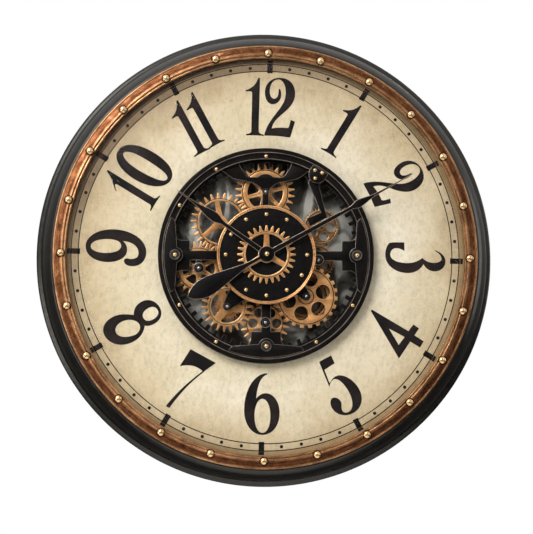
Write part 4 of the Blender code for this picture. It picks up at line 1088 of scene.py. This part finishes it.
def build_centre():
    front = DISC_FRONT
    disc = [(54.2, front - 0.1), (55.3, front - 0.8), (55.3, front - 10.0), (53.8, front - 10.0),
            (53.8, front - 2.0),
            (4.9, front - 2.0), (4.9, front - 0.1)]
    finished("disc_plate", lathe(softened(disc, 0.25)), ([DISC_BLACK], "black_metal"), ("centre_disc",))
    low, high = depths("centre_rim")
    beads = [(57.2, low + 0.2), (57.2, high - 1.3)]
    beads += moved(circle_points(1.0, 8, 16)[1:], (56.2, high - 1.2)) + [(55.3, high - 2.2),
                                                                         (55.2, high - 2.2)]
    beads += moved(circle_points(0.75, 6, 12)[1:], (54.5, high - 1.9))
    beads += [(53.7, high - 2.2), (53.7, front + 0.3), (55.8, front + 0.3), (55.8, low + 0.2)]
    finished("disc_rim", lathe(beads), ([RIM_COPPER], "gold"), ("centre_rim",))
    line = [(55.0, high - 2.6), (55.0, high - 1.75), (55.65, high - 1.55), (55.65, high - 2.6)]
    finished("disc_rim_groove", lathe(line), ([GROOVE], "gold"))
    gold_rivets("disc_rivets", [polar(47.0, 30 * i) for i in range(12)], front - 0.1, radius=2.45)
    low, high = depths("centre_gear")
    loops = [gear(28, 27.4, 33.8, 0, 0.62, 0.24)] + windows(3, 9.6, 24.0, 6.0, 0, 1.05) + [ring(5.0, 40)]
    finished("centre_cog", slab(loops, low, high - 0.35, 0.35), GEAR, ("centre_gear",))
    finished("centre_cog_band", lathe(cuff(24.4, 26.0, high - 0.6, high, 0.22), 160), GEAR)
    finished("centre_cog_groove", lathe(cuff(26.1, 26.8, high - 0.6, high - 0.28), 160), ([GROOVE], "copper"))


# ---- hands

HOUR_DEG, MINUTE_DEG = 305.5, 61.0


def build_hands():
    hour = bezier((2.9, 7.6), [(2.6, 40.0), (2.3, 60.0), (2.5, 66.0, 5.2, 68.5, 5.6, 73.0),
                               (5.8, 78.0, 4.8, 84.0, 3.1, 90.0), (1.8, 96.0, 1.2, 104.0, 0.45, 126.8)], 8)
    minute = bezier((2.9, 7.6), [(2.6, 60.0), (2.1, 110.0), (2.2, 115.0, 4.4, 116.5, 4.7, 120.5),
                                 (4.6, 126.0, 2.8, 133.0, 1.4, 141.0), (0.45, 193.8)], 8)
    tail = bezier((0.45, -103.2), [(5.0, -101.0, 11.3, -90.0, 11.3, -79.0),
                                   (11.0, -66.0, 5.0, -46.0, 2.3, -24.0),
                                   (1.9, -7.6)], 12)
    for body, outline, degrees in (("hour", hour, HOUR_DEG), ("minute", tail + minute, MINUTE_DEG)):
        low, high = depths(body + "_hand")
        blade = slab([turned_by(mirrored(outline), degrees)], low + 0.1, high, 0.42)
        finished(body + "_blade", blade, HAND, (body + "_hand",), body)
        finished(body + "_blade_hub", lathe(cuff(2.4, 9.2, low, high, 0.35), 72), HAND, body=body)
    low = depths("hand_cap")[0]
    base = softened([(0, low + 1.6), (4.4, low + 1.6), (5.2, low + 0.8), (5.2, low), (0, low)], 0.3,
                    closed=False)
    finished("cap_base", lathe(base, 48, closed=False), ([HAND_BLACK], "gold"), ("hand_cap",), "minute")
    finished("cap_ball", stud(2.9, low + 1.5, 2.2, AXIS, 28, 0.5), GILT, body="minute")


# ---- inner and rear pieces

COVER_R, COVER_HOLE_R = 257.8, 100.0
HANGER_AT = (0, 214.0)
COVER_SCREWS = 8


def build_well():
    low, high = depths("gear_well")
    profile = [(121.5, high), (121.5, high - 1.4), (114.4, high - 1.4), (114.4, low), (5.0, low),
               (5.0, low + 1.5),
               (113.0, low + 1.5), (113.0, high)]
    finished("well_shell", lathe(softened(profile, 0.6, 3)), INNER, ("gear_well",))
    smoked = slab([ring(112.2, ROUND), ring(5.2, 32)], *depths("mirror_plate"), 0.2)
    finished("smoked_plate", smoked, ([MIRROR], "mirror"), ("mirror_plate",))
    support = slab([ring(249.2, ROUND), ring(226.0, ROUND)], *depths("support_ring"), 0.2)
    finished("support_band", support, INNER, ("support_ring",))


def build_back():
    low, high = depths("back_cover")
    cover = slab([ring(COVER_R, ROUND), ring(13.0, 48, HANGER_AT), ring(COVER_HOLE_R, ROUND)], low, high,
                 0.25)
    finished("rear_cover", cover, INNER, ("back_cover",))
    head = [(0, low + 0.5), (3.6, low + 0.5), (3.6, low - 0.5), (2.4, low - 1.3), (0, low - 1.4)]
    spots = [polar(244.0, 360 / COVER_SCREWS * (i + 0.5)) for i in range(COVER_SCREWS)]
    screws = [lathe(head, 24, spot, closed=False) for spot in spots]
    finished("cover_screws", merged(screws), BRACKET)
    low, high = depths("hanger_plate")
    corners = []
    for i, corner in enumerate(((29, 226), (29, 202), (-29, 202), (-29, 226))):
        corners += arc(3.0, 90 * i, 90 * i + 90, 5, corner)
    keyhole = arc(5.5, 28, 332, 26, (0, 210)) + [(-2.6, 221.5)]
    keyhole += arc(2.6, 270, 450, 8, (0, 221.5))[1:-1] + [(2.6, 221.5)]
    finished("hanger", slab([corners, keyhole], low, high, 0.3), BRACKET, ("hanger_plate",))
    head = [(0, low + 0.4), (3.0, low + 0.4), (3.0, low), (2.2, low - 0.25), (0, low - 0.28)]
    finished("hanger_rivets", merged([lathe(head, 20, (x, 214), closed=False) for x in (-23, 23)]), PIN)


NODE_LOOKS = {
    "movement_case": BLACK_PLASTIC, "motor_case": BLACK_PLASTIC, "setting_knob": WHITE_PLASTIC,
    "motor_switch": WHITE_PLASTIC, "movement_battery": CELL, "motor_battery": CELL, "drive_motor": STEEL,
    "rotor_pinion": GOLD, "output_pinion": GOLD, "movement_bush": GOLD, "hour_tube": GOLD,
    "minute_arbor": STEEL,
    "drive_wheel": SHADED_COPPER,
}
SOFT_EDGES = {"movement_case": 0.5, "motor_case": 0.5, "motor_switch": 0.3}


def dress_nodes():
    """CAD pieces that keep their shapes get their materials, and the moulded ones softer edges."""
    for name, look in NODE_LOOKS.items():
        node = frame["nodes"][name]
        node.data.materials.clear()
        node.data.materials.append(look)
        if name in SOFT_EDGES:
            bevel = node.modifiers.new("Bevel", "BEVEL")
            bevel.width = SOFT_EDGES[name] * MM
            bevel.segments = 2
            bevel.limit_method = "ANGLE"
            bevel.angle_limit = math.radians(50)


# ---- camera, light and stage

VIEW_TARGET = (0.0011, -0.035, -0.0122)
VIEW_DISTANCE = 2.5
VIEW_SIDE_DEG, VIEW_BELOW_DEG = 2.6, 5.2
LENS_MM, SENSOR_MM = 145.1, 36.0

# Light: its place, its width and height in metres, and its power in watts. All of them face the clock.
LIGHTS = {
    "key": ((-1.1, -1.7, 1.2), (1.2, 1.2), 54),
    "fill": ((1.5, -1.7, 0.6), (1.0, 1.4), 6),
    "rear": ((0.2, 2.2, 0.5), (1.2, 1.2), 22),
    "low_left": ((-1.9, -1.1, -0.5), (0.8, 1.0), 12),
    "side_strip": ((1.0, 0.05, 0.09), (0.3, 0.6), 1.5),
}
SKY = ((0.0, 0.01), (1.0, 0.62), (0.5, 0.09))  # (height, grey), for light that the camera doesn't see
FLOOR_R, FLOOR_AT = 0.9, (0, -0.8, -0.9)


def aimed(name, data, location, target=(0, 0, 0)):
    """A camera or light that faces a target."""
    thing = bpy.data.objects.new(name, data)
    thing.location = location
    thing.rotation_euler = (Vector(target) - thing.location).to_track_quat("-Z", "Y").to_euler()
    bpy.context.scene.collection.objects.link(thing)
    return thing


def add_camera():
    data = bpy.data.cameras.new("camera")
    data.lens = LENS_MM
    data.sensor_width = SENSOR_MM
    side, below = math.radians(VIEW_SIDE_DEG), math.radians(VIEW_BELOW_DEG)
    away = Vector((-math.sin(side) * math.cos(below), -math.cos(side) * math.cos(below), -math.sin(below)))
    bpy.context.scene.camera = aimed("camera", data, Vector(VIEW_TARGET) + VIEW_DISTANCE * away, VIEW_TARGET)
    bpy.context.scene.view_settings.view_transform = "Standard"


def add_lights():
    for name, (location, size, power) in LIGHTS.items():
        data = bpy.data.lights.new(name, "AREA")
        data.shape = "RECTANGLE"
        data.size, data.size_y = size
        data.energy = power
        aimed(name, data, location)


def add_stage():
    mesh = bpy.data.meshes.new("floor")
    work = bmesh.new()
    bmesh.ops.create_circle(work, cap_ends=True, radius=FLOOR_R, segments=96)
    work.to_mesh(mesh)
    work.free()
    floor = bpy.data.objects.new("floor", mesh)
    floor.location = FLOOR_AT
    mesh.materials.append(Look("floor_pale", (0.86, 0.86, 0.85), 0.0, 0.6).material)
    bpy.context.scene.collection.objects.link(floor)


def add_world():
    """A white surround that lights the clock with less from below, so that the metals keep their contrast."""
    world = bpy.data.worlds.new("studio")
    bpy.context.scene.world = world
    world.use_nodes = True
    tree = world.node_tree
    seen = tree.nodes["Background"]
    seen.inputs["Color"].default_value = (1, 1, 1, 1)
    lit = tree.nodes.new("ShaderNodeBackground")
    split = tree.nodes.new("ShaderNodeSeparateXYZ")
    tree.links.new(tree.nodes.new("ShaderNodeTexCoord").outputs["Generated"], split.inputs[0])
    ramp = tree.nodes.new("ShaderNodeValToRGB")
    spread = tree.nodes.new("ShaderNodeMapRange")
    spread.inputs["From Min"].default_value = -1.0
    tree.links.new(split.outputs[2], spread.inputs[0])
    tree.links.new(spread.outputs[0], ramp.inputs["Fac"])
    ends = ramp.color_ramp.elements
    for element, (position, grey) in zip((ends[0], ends[1], ends.new(0.5)), SKY):
        element.position = position
        element.color = (grey, 0.95 * grey, 0.87 * grey, 1)
    tree.links.new(ramp.outputs["Color"], lit.inputs["Color"])
    by_camera = tree.nodes.new("ShaderNodeLightPath").outputs["Is Camera Ray"]
    blended(tree, by_camera, lit, seen, "World Output")


def main():
    add_camera()
    build_case()
    build_bezel()
    build_lens()
    build_dial()
    build_track()
    build_numerals()
    build_window_ring()
    build_toothed_ring()
    for side, clock_deg in (("right", 90), ("bottom", 180), ("left", 270)):
        build_segment(f"{side}_cover", clock_deg)
        build_bridge(side, clock_deg)
    build_wheels()
    for body in ("top", "upper_left", "left", "lower_left", "bottom", "lower_right", "right", "upper_right"):
        build_post(f"{body}_post", PIVOT[body])
    build_yoke()
    build_lever()
    build_spider()
    build_centre()
    build_hands()
    build_well()
    build_back()
    dress_nodes()
    add_world()
    add_lights()
    add_stage()


main()
